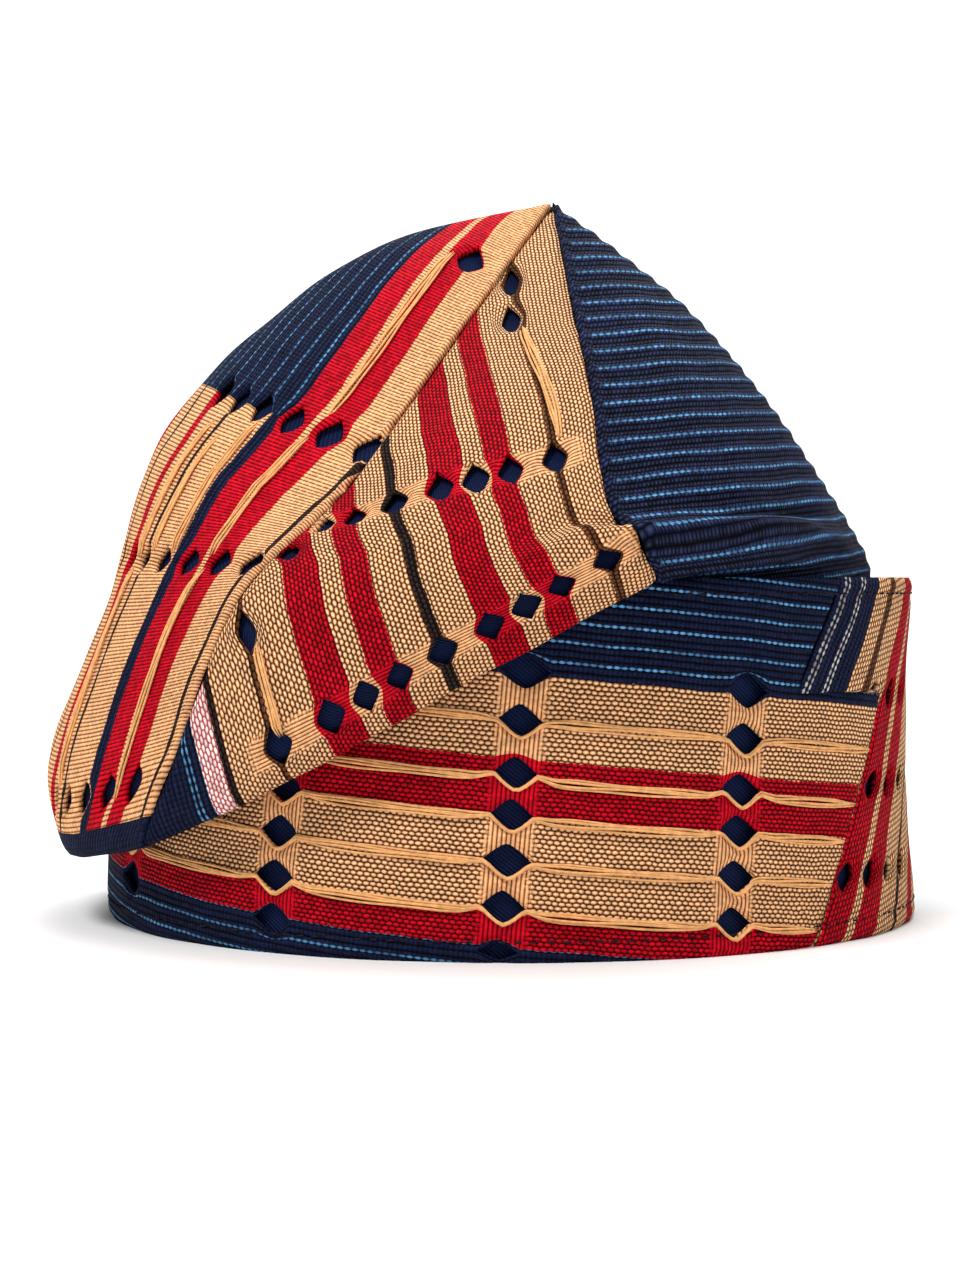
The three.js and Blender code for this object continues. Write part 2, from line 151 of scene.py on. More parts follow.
@dataclass(frozen=True)
class BandInset:
    """How far the band's wall draws in at one angle, at its waist and at its rim."""

    angle: float
    waist: float
    rim: float


@dataclass
class BandShape:
    """The upright oval band that goes round the head."""

    half_width: float = 95.0
    half_depth: float = 91.0
    height: float = 78.5
    waist_share: float = 0.65
    insets: Sequence[BandInset] = (
        BandInset(0, 2.5, 1),
        BandInset(45, 2, 2),
        BandInset(90, 2, 4),
        BandInset(135, 3, 8),
        BandInset(180, 4, 12),
        BandInset(225, 3, 9),
        BandInset(270, 1.5, 2.5),
        BandInset(315, 2, 1),
    )

    def _inset(self, column: str, angle: Array) -> Array:
        """The inset of one column of the table, smoothly between its rows."""
        values = np.array([getattr(row, column) for row in self.insets])
        place = np.mod(angle, FULL_TURN) / (FULL_TURN / len(values))
        row = np.floor(place).astype(int)
        t = place - row
        a, b, c, d = (values[(row + k) % len(values)] for k in (-1, 0, 1, 2))
        return through_points(a, b, c, d, t)

    def radius(self, angle: Array, height: Array) -> Array:
        """Distance of the outer wall from the oval's middle."""
        turn = np.radians(angle)
        share = height / self.height
        waist, rim = self._inset("waist", angle), self._inset("rim", angle)
        bow = (waist / self.waist_share - rim) / (self.waist_share - 1.0)
        oval = 1.0 / np.hypot(np.cos(turn) / self.half_width, np.sin(turn) / self.half_depth)
        return oval - rim * share - bow * share * (share - 1.0)

    def point(self, angle: Array, height: Array, out: Array | float) -> Array:
        """Places on the wall, moved outwards by out."""
        r = self.radius(angle, height) + out
        turn = np.radians(angle)
        return np.stack([r * np.cos(turn), r * np.sin(turn), np.asarray(height) + 0.0 * r], axis=-1)

    def angle_at(self, arc: Array) -> Array:
        """The angle that lies a distance along the wall from the middle of the front, at half height."""
        angles = np.linspace(-30.0, 690.0, 2881)
        places = self.point(angles, np.full_like(angles, self.height / 2), 0.0)
        steps = np.linalg.norm(np.diff(places, axis=0), axis=1)
        gone = np.concatenate([[0.0], np.cumsum(steps)])
        gone -= np.interp(FRONT_ANGLE, angles, gone)
        return np.interp(arc, gone, angles)

    def arc_at(self, angle: float) -> float:
        """The distance along the wall from the middle of the front to an angle, at half height."""
        arcs = np.linspace(-320.0, 640.0, 1921)
        return float(np.interp(angle, self.angle_at(arcs), arcs))

    @property
    def girth(self) -> float:
        """The length of the wall all the way round, at half height."""
        return self.arc_at(FRONT_ANGLE + FULL_TURN)

    def axis_distance(self, axis_x: float, azimuth: float, height: float) -> float:
        """Distance from an upright axis out to the wall, along an azimuth at a height."""
        near, far = 40.0, 140.0
        for _ in range(40):
            r = (near + far) / 2
            x, y = axis_x + r * math.cos(math.radians(azimuth)), r * math.sin(math.radians(azimuth))
            wall = self.radius(np.array([math.degrees(math.atan2(y, x))]), np.array([height]))[0]
            near, far = (r, far) if math.hypot(x, y) < wall else (near, r)
        return near


class Way(Enum):
    """How a section of the crown leaves the band."""

    HANG = "hang"
    OVER = "over"
    RISE = "rise"
    INSIDE = "inside"


@dataclass(frozen=True)
class CrownSection:
    """One upright section of the crown, from its fold to its brow."""

    seam: str
    way: Way
    az_fold: float
    az_waist: float
    az_brow: float
    fold_out: float
    fold_z: float
    hip: tuple[float, float]
    waist: tuple[float, float]
    shoulder: tuple[float, float]
    brow: tuple[float, float]


HANG, OVER, RISE, INSIDE = Way.HANG, Way.OVER, Way.RISE, Way.INSIDE
CROWN_SECTIONS: Sequence[CrownSection] = tuple(CrownSection(*row) for row in (
    ("front_right", OVER, 281, 275.5, 274, 8.5, 78.5, (103, 84), (96, 92), (71, 118), (36, 143)),
    ("", OVER, 297, 294, 294, 5, 82, (93, 86), (88, 93), (67, 117), (36, 142)),
    ("", RISE, 318, 318, 318, -6, 83, (79, 86), (76, 93), (61, 115), (35, 140)),
    ("", INSIDE, 340, 340, 340, -10, 79, (74, 83), (69, 92), (56, 112), (33.5, 139)),
    ("right_back", INSIDE, 362, 362, 362, -10, 79, (74, 83), (69, 92), (57, 110), (34, 138)),
    ("", INSIDE, 398, 398, 398, -10, 79, (76, 83), (71, 92), (60, 110), (35, 138)),
    ("", RISE, 430, 430, 430, -6, 83, (82, 86), (79, 94), (66, 113), (36, 140)),
    ("", OVER, 455, 455, 455, 8, 77, (98, 83), (93, 93), (73, 115), (39, 141)),
    ("", HANG, 477, 477, 477, 8, 55, (107, 66), (100, 84), (83, 108), (43, 142)),
    ("back_left", HANG, 499, 499, 499, 8, 37, (115, 48), (105, 75), (89, 105), (44, 145)),
    ("", HANG, 519, 519, 520, 8, 26, (118, 39), (104, 74), (91, 110), (45, 151)),
    ("", HANG, 538, 540, 544, 8, 19.5, (118.5, 33), (104, 72), (91, 112), (45, 153.5)),
    ("", HANG, 557, 566, 576, 9, 16.5, (116, 33), (105, 72), (88, 105), (42, 146)),
    ("left_front", HANG, 577, 591, 601, 10, 22, (111.5, 42), (106, 74), (84, 95), (37, 138)),
    ("", HANG, 591, 601, 608, 9, 32, (108.5, 47), (103.5, 76), (81, 100), (37, 139)),
    ("", HANG, 606, 612, 616, 8.5, 46, (105.5, 58), (101, 80), (78, 107), (37, 140)),
    ("", HANG, 622, 624, 626, 8.5, 61.5, (102.5, 70.5), (98.5, 85), (74, 113), (36.5, 142)),
))


@dataclass
class CrownShape:
    """The soft crown: rings of cloth from a tail inside the band, over its rim and fold, to the tip."""

    band: BandShape
    axis_x: float = 9.5
    tip_height: float = 166.5
    tail_length: float = 20.0
    fold_roll: float = 3.6
    inside: float = 4.8
    outside: float = 3.0
    control: Array = field(init=False)
    seams: dict[str, int] = field(init=False)

    FOLD = 6.0
    TIP = 11.0

    def __post_init__(self) -> None:
        """Works out the points that every section passes."""
        self.control = np.array([self._section(row) for row in CROWN_SECTIONS])
        self.seams = {row.seam: i for i, row in enumerate(CROWN_SECTIONS) if row.seam}

    def _way_to_fold(self, row: CrownSection) -> list[tuple[float, float]]:
        """Radius and height pairs of a section from its tail to its fold."""
        top = self.band.height
        rim = self.band.axis_distance(self.axis_x, row.az_fold, top)
        tail_z = top - self.tail_length
        tail_r = self.band.axis_distance(self.axis_x, row.az_fold, tail_z) - self.inside - 0.6
        fold_r = rim + row.fold_out
        if row.way is Way.HANG:
            half = (row.fold_z + top) / 2
            hang_r = self.band.axis_distance(self.axis_x, row.az_fold, row.fold_z) + row.fold_out
            mid_r = self.band.axis_distance(self.axis_x, row.az_fold, half) + self.outside + 1.6
            return [
                (tail_r, tail_z), (rim - self.inside, top - 1.5), (rim - 1.6, top + 3.4),
                (rim + self.outside, top - 0.5), (mid_r, half),
                (hang_r - self.fold_roll, row.fold_z + self.fold_roll), (hang_r, row.fold_z),
            ]
        if row.way is Way.OVER:
            return [
                (tail_r, tail_z), (rim - self.inside, top - 1.5), (rim - 2.6, top + 3.4),
                (rim - 0.3, top + 4.4), (between(rim, fold_r, 0.35), between(top + 4.2, row.fold_z, 0.3)),
                (between(rim, fold_r, 0.7), between(top + 3.8, row.fold_z, 0.75)), (fold_r, row.fold_z),
            ]
        if row.way is Way.RISE:
            wall = rim - self.inside - 0.6
            return [
                (tail_r, tail_z), (wall - 0.2, top - 6), (wall, top - 2),
                (between(wall, fold_r, 0.4), top + 0.5), (between(wall, fold_r, 0.7), top + 2),
                (fold_r, top + 3.2), (fold_r, row.fold_z),
            ]
        shares = ((0, 0), (0.2, 0.3), (0.4, 0.5), (0.55, 0.65), (0.7, 0.78), (0.85, 0.9), (1, 1))
        return [(between(tail_r, fold_r, a), between(tail_z, row.fold_z, b)) for a, b in shares]

    def _section(self, row: CrownSection) -> Array:
        """The places that one section's curve passes, from tail to tip."""
        places = [(row.az_fold, r, z) for r, z in self._way_to_fold(row)]
        places += [
            ((row.az_fold + row.az_waist) / 2, *row.hip), (row.az_waist, *row.waist),
            ((row.az_waist + row.az_brow) / 2, *row.shoulder), (row.az_brow, *row.brow),
            (row.az_brow, 0.0, self.tip_height),
        ]
        turns = [(math.radians(az), r, z) for az, r, z in places]
        return np.array([(self.axis_x + r * math.cos(az), r * math.sin(az), z) for az, r, z in turns])

    def point(self, u: Array, v: Array) -> Array:
        """Places on the cloth: u counts sections round the crown, v counts rings from tail to tip.

        Args:
            u: section places, any turn.
            v: ring places, 0 at the tail to 11 at the tip.

        Returns:
            One place a row, in millimetres.
        """
        count = len(CROWN_SECTIONS)
        u, v = np.broadcast_arrays(np.asarray(u, float), np.asarray(v, float))
        shape, u, v = u.shape, u.ravel(), v.ravel()
        turn = np.mod(u, count)
        row = np.minimum(np.floor(turn).astype(int), count - 1)
        t = (turn - row)[:, None, None]
        seam = np.zeros(count, bool)
        seam[list(self.seams.values())] = True
        after = (row + 1) % count
        one, two = self.control[row], self.control[after]
        zero = np.where(seam[row][:, None, None], 2 * one - two, self.control[(row - 1) % count])
        three = np.where(seam[after][:, None, None], 2 * two - one, self.control[(row + 2) % count])
        rings = through_points(zero, one, two, three, t)
        last = rings.shape[1] - 1
        v = np.clip(v, 0.0, last)
        step = np.minimum(np.floor(v).astype(int), last - 1)
        w = (v - step)[:, None]
        index = np.arange(len(v))
        p1, p2 = rings[index, step], rings[index, step + 1]
        p0 = np.where((step == 0)[:, None], 2 * p1 - p2, rings[index, np.maximum(step - 1, 0)])
        p3 = np.where((step + 2 > last)[:, None], 2 * p2 - p1, rings[index, np.minimum(step + 2, last)])
        d01, d12, d23 = (
            np.maximum(np.linalg.norm(b - a, axis=1, keepdims=True) ** 0.5, 1e-4)
            for a, b in ((p0, p1), (p1, p2), (p2, p3))
        )
        t1 = ((p1 - p0) / d01 - (p2 - p0) / (d01 + d12) + (p2 - p1) / d12) * d12
        t2 = ((p2 - p1) / d12 - (p3 - p1) / (d12 + d23) + (p3 - p2) / d23) * d12
        curve = p1 + t1 * w + (-3 * p1 + 3 * p2 - 2 * t1 - t2) * w**2 + (2 * p1 - 2 * p2 + t1 + t2) * w**3
        return curve.reshape(*shape, 3)

    def normal(self, u: Array, v: Array) -> Array:
        """Outward normals of the cloth at those places."""
        reach = 0.02
        across = self.point(u + reach, v) - self.point(u - reach, v)
        along = self.point(u, v + reach) - self.point(u, v - reach)
        facing = np.cross(across, along)
        return facing / np.maximum(np.linalg.norm(facing, axis=-1, keepdims=True), 1e-9)

    def lengths_down(self, u: float) -> tuple[Array, Array]:
        """Ring places and their distance along one section, counted up from the fold."""
        rings = np.linspace(0.0, self.TIP, 1101)
        places = self.point(np.full_like(rings, u), rings)
        gone = np.concatenate([[0.0], np.cumsum(np.linalg.norm(np.diff(places, axis=0), axis=1))])
        return rings, gone - np.interp(self.FOLD, rings, gone)


class Nodes:
    """A short way to write a material's node network."""

    def __init__(self, name: str) -> None:
        """Starts a material with a principled shader."""
        self.material = bpy.data.materials.new(name)
        self.material.use_nodes = True
        self.tree = self.material.node_tree
        self.shader = self.tree.nodes["Principled BSDF"]

    def add(self, kind: str, **settings: object) -> bpy.types.Node:
        """A new node of a kind with its settings."""
        node = self.tree.nodes.new(kind)
        for key, value in settings.items():
            setattr(node, key, value)
        return node

    def put(self, socket: Socket, value: object) -> None:
        """Links a socket to a value's socket, or sets it to a number or colour."""
        if isinstance(value, Socket):
            self.tree.links.new(value, socket)
        else:
            socket.default_value = value

    def node(self, kind: str, values: dict, output: int | str = 0, **settings: object) -> Socket:
        """The output of a new node of a kind, with its settings and its inputs' values."""
        node = self.add(kind, **settings)
        for key, value in values.items():
            self.put(node.inputs[key], value)
        return node.outputs[output]

    def math(self, operation: str, *values: object, clamp: bool = False) -> Socket:
        """The result of one sum on sockets or numbers."""
        return self.node("ShaderNodeMath", dict(enumerate(values)), operation=operation, use_clamp=clamp)

    plus = partialmethod(math, "ADD")
    minus = partialmethod(math, "SUBTRACT")
    times = partialmethod(math, "MULTIPLY")
    over = partialmethod(math, "DIVIDE")
    whole = partialmethod(math, "FLOOR")
    either = partialmethod(math, "MAXIMUM")

    def linear(self, value: object, base: float, gain: object) -> Socket:
        """A value times gain, plus a base."""
        return self.plus(base, self.times(value, gain))

    def step(self, value: object, low: float, high: float) -> Socket:
        """A smooth rise from 0 at low to 1 at high."""
        values = {"Value": value, "From Min": low, "From Max": high}
        return self.node("ShaderNodeMapRange", values, interpolation_type="SMOOTHSTEP")

    def mix(self, share: object, one: object, two: object, blend: str = "MIX") -> Socket:
        """A colour between two colours."""
        return self.node("ShaderNodeMix", {0: share, 6: one, 7: two}, 2, data_type="RGBA", blend_type=blend)

    def shade(self, colour: object, tone: object) -> Socket:
        """A colour times another."""
        return self.mix(1.0, colour, tone, "MULTIPLY")

    def blend(self, share: object, one: object, two: object) -> Socket:
        """A number between two numbers."""
        return self.node("ShaderNodeMix", {0: share, 2: one, 3: two}, data_type="FLOAT")

    def cloth_mm(self) -> tuple[Socket, Socket]:
        """The cloth's own coordinates in millimetres: along its stripes and across them."""
        uv = self.node("ShaderNodeUVMap", {}, uv_map="cloth")
        along, across = (self.node("ShaderNodeSeparateXYZ", {0: uv}, axis) for axis in range(2))
        return self.times(along, MM_PER_METRE), self.times(across, MM_PER_METRE)

    def noise(self, scale: float, detail: float = 2.0) -> Socket:
        """Noise on the piece's own place, in swells of about 1/scale metres."""
        place = self.node("ShaderNodeTexCoord", {}, "Object")
        return self.node("ShaderNodeTexNoise", {"Vector": place, "Scale": scale, "Detail": detail}, "Fac")

    def waver(self, scale: float, size: float, detail: float = 2.0) -> Socket:
        """Noise about zero, of a size from its lowest to its highest."""
        return self.times(self.minus(self.noise(scale, detail), 0.5), size)

    def chance(self, one: object, two: object) -> Socket:
        """A number from 0 to 1 that is fixed for each pair of whole numbers."""
        pair = self.node("ShaderNodeCombineXYZ", {0: one, 1: two})
        return self.node("ShaderNodeTexWhiteNoise", {"Vector": pair}, "Value", noise_dimensions="2D")

    def grey(self, value: object) -> Socket:
        """A grey colour of a socket's value."""
        return self.node("ShaderNodeCombineColor", dict.fromkeys(range(3), value))

    def dome(self, share: object, power: float = 2.0) -> Socket:
        """A rounded rise that is 1 at the middle of each whole step of a value and 0 at its ends."""
        away = self.math("ABSOLUTE", self.minus(self.math("FRACT", share), 0.5))
        return self.minus(1.0, self.math("POWER", self.times(away, 2.0), power), clamp=True)

    def bump(self, height: object, depth: float, strength: float) -> None:
        """Gives the shader a relief of a depth in metres."""
        values = {"Height": height, "Distance": depth, "Strength": strength}
        self.put(self.shader.inputs["Normal"], self.node("ShaderNodeBump", values))

    def finish(self, colour: object, roughness: float) -> Material:
        """Sets the shader's colour, roughness and faint shine."""
        values = {"Base Color": colour, "Roughness": roughness, "Specular IOR Level": CLOTH_SHINE}
        for name, value in values.items():
            self.put(self.shader.inputs[name], value)
        return self.material


Colour = tuple[float, float, float, float]


def srgb(red: int, green: int, blue: int) -> Colour:
    """A display colour as the linear colour that a shader takes."""

    def linear(value: int) -> float:
        """One channel."""
        share = value / 255.0
        return share / 12.92 if share <= 0.04045 else ((share + 0.055) / 1.055) ** 2.4
    return (linear(red), linear(green), linear(blue), 1.0)


# The cream that the tops of the tan beads are painted toward, a painted highlight.
HIGHLIGHT_CREAM = srgb(255, 224, 180)
WHITE = (1.0, 1.0, 1.0, 1.0)
WEAVE_SHADOW = (0.12, 0.065, 0.04, 1.0)
CORD_SHADOW = (0.05, 0.05, 0.07, 1.0)
TWILL_SHADOW = (0.45, 0.45, 0.5, 1.0)
TWILL_NAVY = srgb(24, 36, 72)
CHECK_GROUND = srgb(186, 52, 60)


class Yarn(Enum):
    """The dyed yarns of the cloth."""

    TAN = srgb(219, 151, 98)
    RED = srgb(180, 7, 29)
    NAVY = srgb(20, 27, 54)
    BLACK = srgb(44, 33, 30)
    BROWN = srgb(92, 56, 34)
    CHECK = srgb(236, 208, 202)
    PALE = srgb(238, 230, 220)
    SKY = srgb(104, 174, 226)

NAVY, TAN, RED = Yarn.NAVY, Yarn.TAN, Yarn.RED
BROWN, BLACK, CHECK = Yarn.BROWN, Yarn.BLACK, Yarn.CHECK
YARN_CODES = {NAVY: 1.0, TAN: 0.6, CHECK: 0.3}
CODE_REACH = 0.1
DASH_LENGTH = 1.65
DASH_SHIFT = 0.37


def dash_line(n: Nodes, line: object, along: object, step: float, pair: float = 0.0) -> Socket:
    """A thin chain of light dashes along the middle of each whole step of a value.

    Args:
        n: the material's network.
        line: counts the lines across the cloth.
        along: place along the cloth, in millimetres.
        step: distance between two lines, in millimetres.
        pair: distance between the two lines of a double line, or 0 for single lines.

    Returns:
        How far a place takes the dash's colour.
    """
    away = n.times(n.math("ABSOLUTE", n.minus(n.math("FRACT", line), 0.5)), step)
    if pair:
        away = n.math("ABSOLUTE", n.minus(away, pair / 2))
    number = n.whole(line)
    swell = n.dome(n.plus(n.over(along, DASH_LENGTH), n.times(number, DASH_SHIFT)))
    on_line = n.step(n.over(away, n.linear(swell, 0.06, 0.22)), 1.25, 0.75)
    bright = n.chance(number, n.whole(n.over(along, 2 * DASH_LENGTH)))
    # Each dash is brightest at its stitch's middle. This is partly the chain's own pattern and partly a
    # painted highlight, and the brightness also varies at random.
    glint = n.linear(swell, 0.08, n.linear(bright, 0.3, 0.65))
    strength = n.linear(n.chance(number, 3.7), 0.75, 0.25)
    return n.times(on_line, n.times(glint, strength))


@dataclass(frozen=True)
class Stripe:
    """One stripe of the cloth: where it starts across the cloth, and its yarn."""

    start: float
    yarn: Yarn


def stripe_row(*pairs: tuple[float, Yarn]) -> tuple[Stripe, ...]:
    """Stripes from pairs of a start and a yarn."""
    return tuple(Stripe(start, yarn) for start, yarn in pairs)


@dataclass(frozen=True)
class RibRow:
    """A row of gaps that draws the cloth into ribs: its place along, its rise across, and its ends across."""

    place: float
    rise: float = 0.0
    first: float = -1000.0
    last: float = 1000.0


@dataclass(frozen=True)
class StripedCloth:
    """Hand-woven strip cloth: stripes of plump beads, drawn into ribs beside the openwork.

    Everywhere else rib_share of the ribs shows. Navy stripes are corded and carry dashed lines from
    dash_from to dash_to across the cloth, single or in pairs. Below navy_below along the cloth, and
    above navy_above where it is also beyond navy_beyond across, every stripe is navy.
    """

    name: str
    stripes: Sequence[Stripe]
    low: float
    high: float
    ribs: Sequence[RibRow]
    rib_reach: float = 3.7
    dash: Yarn = Yarn.SKY
    dash_step: float = 4.2
    dash_from: float = 0.0
    dash_to: float = 1000.0
    dash_pair: float = 0.0
    bead_length: float = 1.45
    bead_width: float = 0.95
    cord_step: float = 1.4
    rib_step: float = 0.95
    pick: float = 1.05
    navy_below: float | None = None
    navy_above: float | None = None
    navy_beyond: float = 0.0
    rib_share: float = 0.0

    def _stripe(self, n: Nodes, place: object) -> tuple[Socket, ...]:
        """The yarn colour at a place across the cloth, and whether it is navy, tan or the checked stripe."""
        ramp = n.add("ShaderNodeValToRGB")
        ramp.color_ramp.interpolation = "CONSTANT"
        share = n.over(n.minus(place, self.low), self.high - self.low, clamp=True)
        n.put(ramp.inputs[0], share)
        elements = ramp.color_ramp.elements
        while len(elements) > 1:
            elements.remove(elements[-1])
        for k, stripe in enumerate(self.stripes):
            spot = min(max((stripe.start - self.low) / (self.high - self.low), 0.0), 1.0)
            element = elements[0] if k == 0 else elements.new(spot)
            element.position = spot
            red, green, blue, _ = stripe.yarn.value
            element.color = (red, green, blue, YARN_CODES.get(stripe.yarn, 0.0))
        is_navy, is_tan, is_check = (
            n.math("COMPARE", ramp.outputs[1], YARN_CODES[yarn], CODE_REACH) for yarn in (NAVY, TAN, CHECK)
        )
        return ramp.outputs[0], is_navy, is_tan, is_check

    def _beside_gaps(self, n: Nodes, along: object, across: object) -> Socket:
        """How far a place is drawn into ribs by the openwork: 1 in a row of gaps, 0 away from it."""
        beside = self.rib_share
        for row in self.ribs:
            middle = n.plus(n.times(across, row.rise), row.place)
            away = n.math("ABSOLUTE", n.minus(along, middle))
            drawn = n.step(away, self.rib_reach + 1.6, self.rib_reach - 1.2)
            begun = n.step(across, row.first - 9.0, row.first - 4.0)
            ends = n.times(begun, n.step(across, row.last + 9.0, row.last + 4.0))
            beside = n.either(beside, n.times(drawn, ends))
        return beside

    def make(self) -> Material:
        """The finish as a material that reads the cloth's own UV map."""
        n = Nodes(self.name)
        along, across = n.cloth_mm()
        wander = n.waver(70.0, 0.9)
        across_w = n.plus(across, wander)
        frayed = n.plus(across_w, n.waver(900.0, 0.55, 1.0))
        yarn, is_navy, is_tan, is_check = self._stripe(n, frayed)
        dashed = is_navy
        if self.navy_below is not None:
            low = n.math("LESS_THAN", n.plus(along, wander), self.navy_below)
            is_navy = n.either(is_navy, low)
            yarn = n.mix(low, yarn, NAVY.value)
        if self.navy_above is not None:
            above = n.math("GREATER_THAN", along, self.navy_above)
            dashed = n.times(above, n.math("GREATER_THAN", across_w, self.navy_beyond))
            is_navy = n.either(is_navy, dashed)
            yarn = n.mix(dashed, yarn, NAVY.value)
        is_tan = n.minus(is_tan, is_navy, clamp=True)

        sway = n.waver(330.0, 0.55)
        across_b = n.plus(n.plus(across, n.times(wander, 0.7)), sway)
        lane = n.over(across_b, self.bead_width)
        row = n.whole(lane)
        odd = n.times(n.math("MODULO", n.math("ABSOLUTE", row), 2.0), 0.5)
        along_b = n.plus(along, n.plus(n.times(wander, 0.5), sway))
        bead = n.plus(n.over(along_b, self.bead_length), odd)
        long_dome = n.times(n.dome(bead), 0.78)
        cross_dome = n.times(n.dome(lane), 0.86)
        bead_height = n.minus(n.plus(long_dome, cross_dome), 0.64, clamp=True)
        rib_height = n.blend(0.1, n.dome(n.over(along, self.rib_step)), 1.0)
        beside = self._beside_gaps(n, n.plus(along, n.waver(260.0, 3.4)), across)
        woven = n.blend(beside, bead_height, rib_height)
        picks = n.blend(0.6, 1.0, n.dome(n.over(along, self.pick)))
        cord_height = n.times(n.dome(n.over(across_w, self.cord_step)), picks)
        height = n.blend(n.times(is_navy, 0.85), woven, cord_height)

        line = n.over(n.minus(across_w, self.dash_from), self.dash_step)
        dashes = n.times(dash_line(n, line, along, self.dash_step, self.dash_pair), dashed)
        dashes = n.times(dashes, n.math("LESS_THAN", across_w, self.dash_to))

        tone = n.linear(n.chance(n.whole(bead), row), 0.72, 0.5)
        tone = n.times(tone, n.linear(n.noise(35.0, 3.0), 0.82, 0.36))
        lit = n.shade(yarn, n.grey(tone))
        # Painted highlight: the tops of the beads and cords are painted 1.35 times lighter, and on tan
        # stripes also toward cream, as where light falls on them.
        crest_highlight = n.times(is_tan, n.blend(beside, 0.7, 0.22))
        highlight = n.mix(crest_highlight, n.shade(lit, n.grey(1.35)), HIGHLIGHT_CREAM)
        # Painted shade: the hollows between beads and ribs are painted dark; in the checked stripe the ground
        # between the beads is its own red.
        gap = n.mix(is_check, n.shade(lit, WEAVE_SHADOW), CHECK_GROUND)
        body = n.mix(n.step(height, 0.14, 0.6), gap, lit)
        cloth = n.mix(n.step(height, 0.45, 0.95), body, highlight)
        n.bump(height, 0.0007, 0.9)
        return n.finish(n.mix(dashes, cloth, self.dash.value), CLOTH_ROUGHNESS)


@dataclass(frozen=True)
class RibbedNavy:
    """Navy cloth of raised cords, with a light-blue dashed line along each fourth cord."""

    name: str = "navy_ribbed_cloth"
    cord_step: float = 1.025
    dash_step: float = 4.1
    pick: float = 0.95

    def make(self) -> Material:
        """The finish as a material that reads the cloth's own UV map."""
        n = Nodes(self.name)
        along, across = n.cloth_mm()
        across_w = n.plus(across, n.waver(45.0, 1.0))
        row = n.over(across_w, self.cord_step)
        index = n.whole(row)
        pick = n.plus(n.over(along, self.pick), n.times(index, 0.5))
        height = n.times(n.dome(row), n.blend(0.75, 1.0, n.dome(pick)))
        line = n.over(across_w, self.dash_step)
        dashes = n.times(dash_line(n, line, along, self.dash_step), n.step(along, 1.6, 3.2))
        tone = n.linear(n.chance(n.whole(pick), index), 0.45, 1.1)
        tone = n.times(tone, n.linear(n.noise(30.0, 3.0), 0.7, 0.6))
        # Painted shade: the cords midway between two dashed lines are painted darker, as in the valley
        # between raised groups of cords.
        ridge = n.linear(n.dome(line), 0.3, 0.9)
        lit = n.shade(NAVY.value, n.grey(n.times(tone, ridge)))
        # Painted highlight: the cords' tops are painted lighter and a little toward white; the hollows
        # between cords are painted dark, a painted shade.
        white_glint = n.times(n.step(height, 0.7, 1.0), 0.02)
        crest_highlight = n.mix(white_glint, n.shade(lit, n.grey(1.5)), WHITE)
        cloth = n.mix(n.step(height, 0.05, 0.7), n.shade(lit, CORD_SHADOW), crest_highlight)
        n.bump(height, 0.0006, 0.8)
        return n.finish(n.mix(dashes, cloth, Yarn.SKY.value), CLOTH_ROUGHNESS)


@dataclass(frozen=True)
class LiningTwill:
    """Plain navy twill: fine slanting ridges."""

    name: str = "lining_twill"
    ridge: float = 0.95

    def make(self) -> Material:
        """The finish as a material that reads the cloth's own UV map."""
        n = Nodes(self.name)
        along, across = n.cloth_mm()
        slant = n.plus(n.times(along, 0.8), across)
        wave = n.math("SINE", n.times(slant, 2.0 * math.pi / self.ridge))
        height = n.linear(wave, 0.5, 0.5)
        lit = n.shade(TWILL_NAVY, n.grey(n.linear(n.noise(200.0, 3.0), 0.7, 0.6)))
        n.bump(height, 0.0003, 0.7)
        return n.finish(n.mix(height, n.shade(lit, TWILL_SHADOW), lit), CLOTH_ROUGHNESS)


@dataclass(frozen=True)
class SmoothYarn:
    """Loose yarn with fine fibres along it."""

    name: str
    yarn: Colour

    def make(self) -> Material:
        """The finish as a material on the piece's own place."""
        n = Nodes(self.name)
        tone = n.linear(n.noise(700.0, 4.0), 0.5, 1.0)
        n.bump(n.noise(1500.0, 2.0), 0.0002, 0.5)
        return n.finish(n.shade(self.yarn, n.grey(tone)), 0.75)


@dataclass(frozen=True)
class Slit:
    """One gap of the openwork: where it opens, along and across the cloth, and its half sizes."""

    along: float
    across: float
    half_length: float = 4.3
    half_width: float = 3.1
    reach: float = 4.9
    round: float = 1.35


def grid_places(verts: Sequence[bmesh.types.BMVert], columns: int, rows: int) -> tuple[Array, Array, Array]:
    """The column and the row of each vertex of a flat grid, and its place there."""
    place = np.array([vert.co[:2] for vert in verts])
    i, j = (np.rint((place[:, k] + GRID_SIZE) * count).astype(int) for k, count in enumerate((columns, rows)))
    return i, j, place


def object_of(name: str, bm: bmesh.types.BMesh, finish: Material) -> Piece:
    """Turns a mesh under work into a smooth object of the scene.

    Args:
        name: the object's and the mesh's name.
        bm: the mesh under work, which is freed.
        finish: its material.

    Returns:
        The object.
    """
    for face in bm.faces:
        face.smooth = True
    mesh = bpy.data.meshes.new(name)
    bm.to_mesh(mesh)
    bm.free()
    mesh.materials.append(finish)
    piece = bpy.data.objects.new(name, mesh)
    bpy.context.scene.collection.objects.link(piece)
    return piece


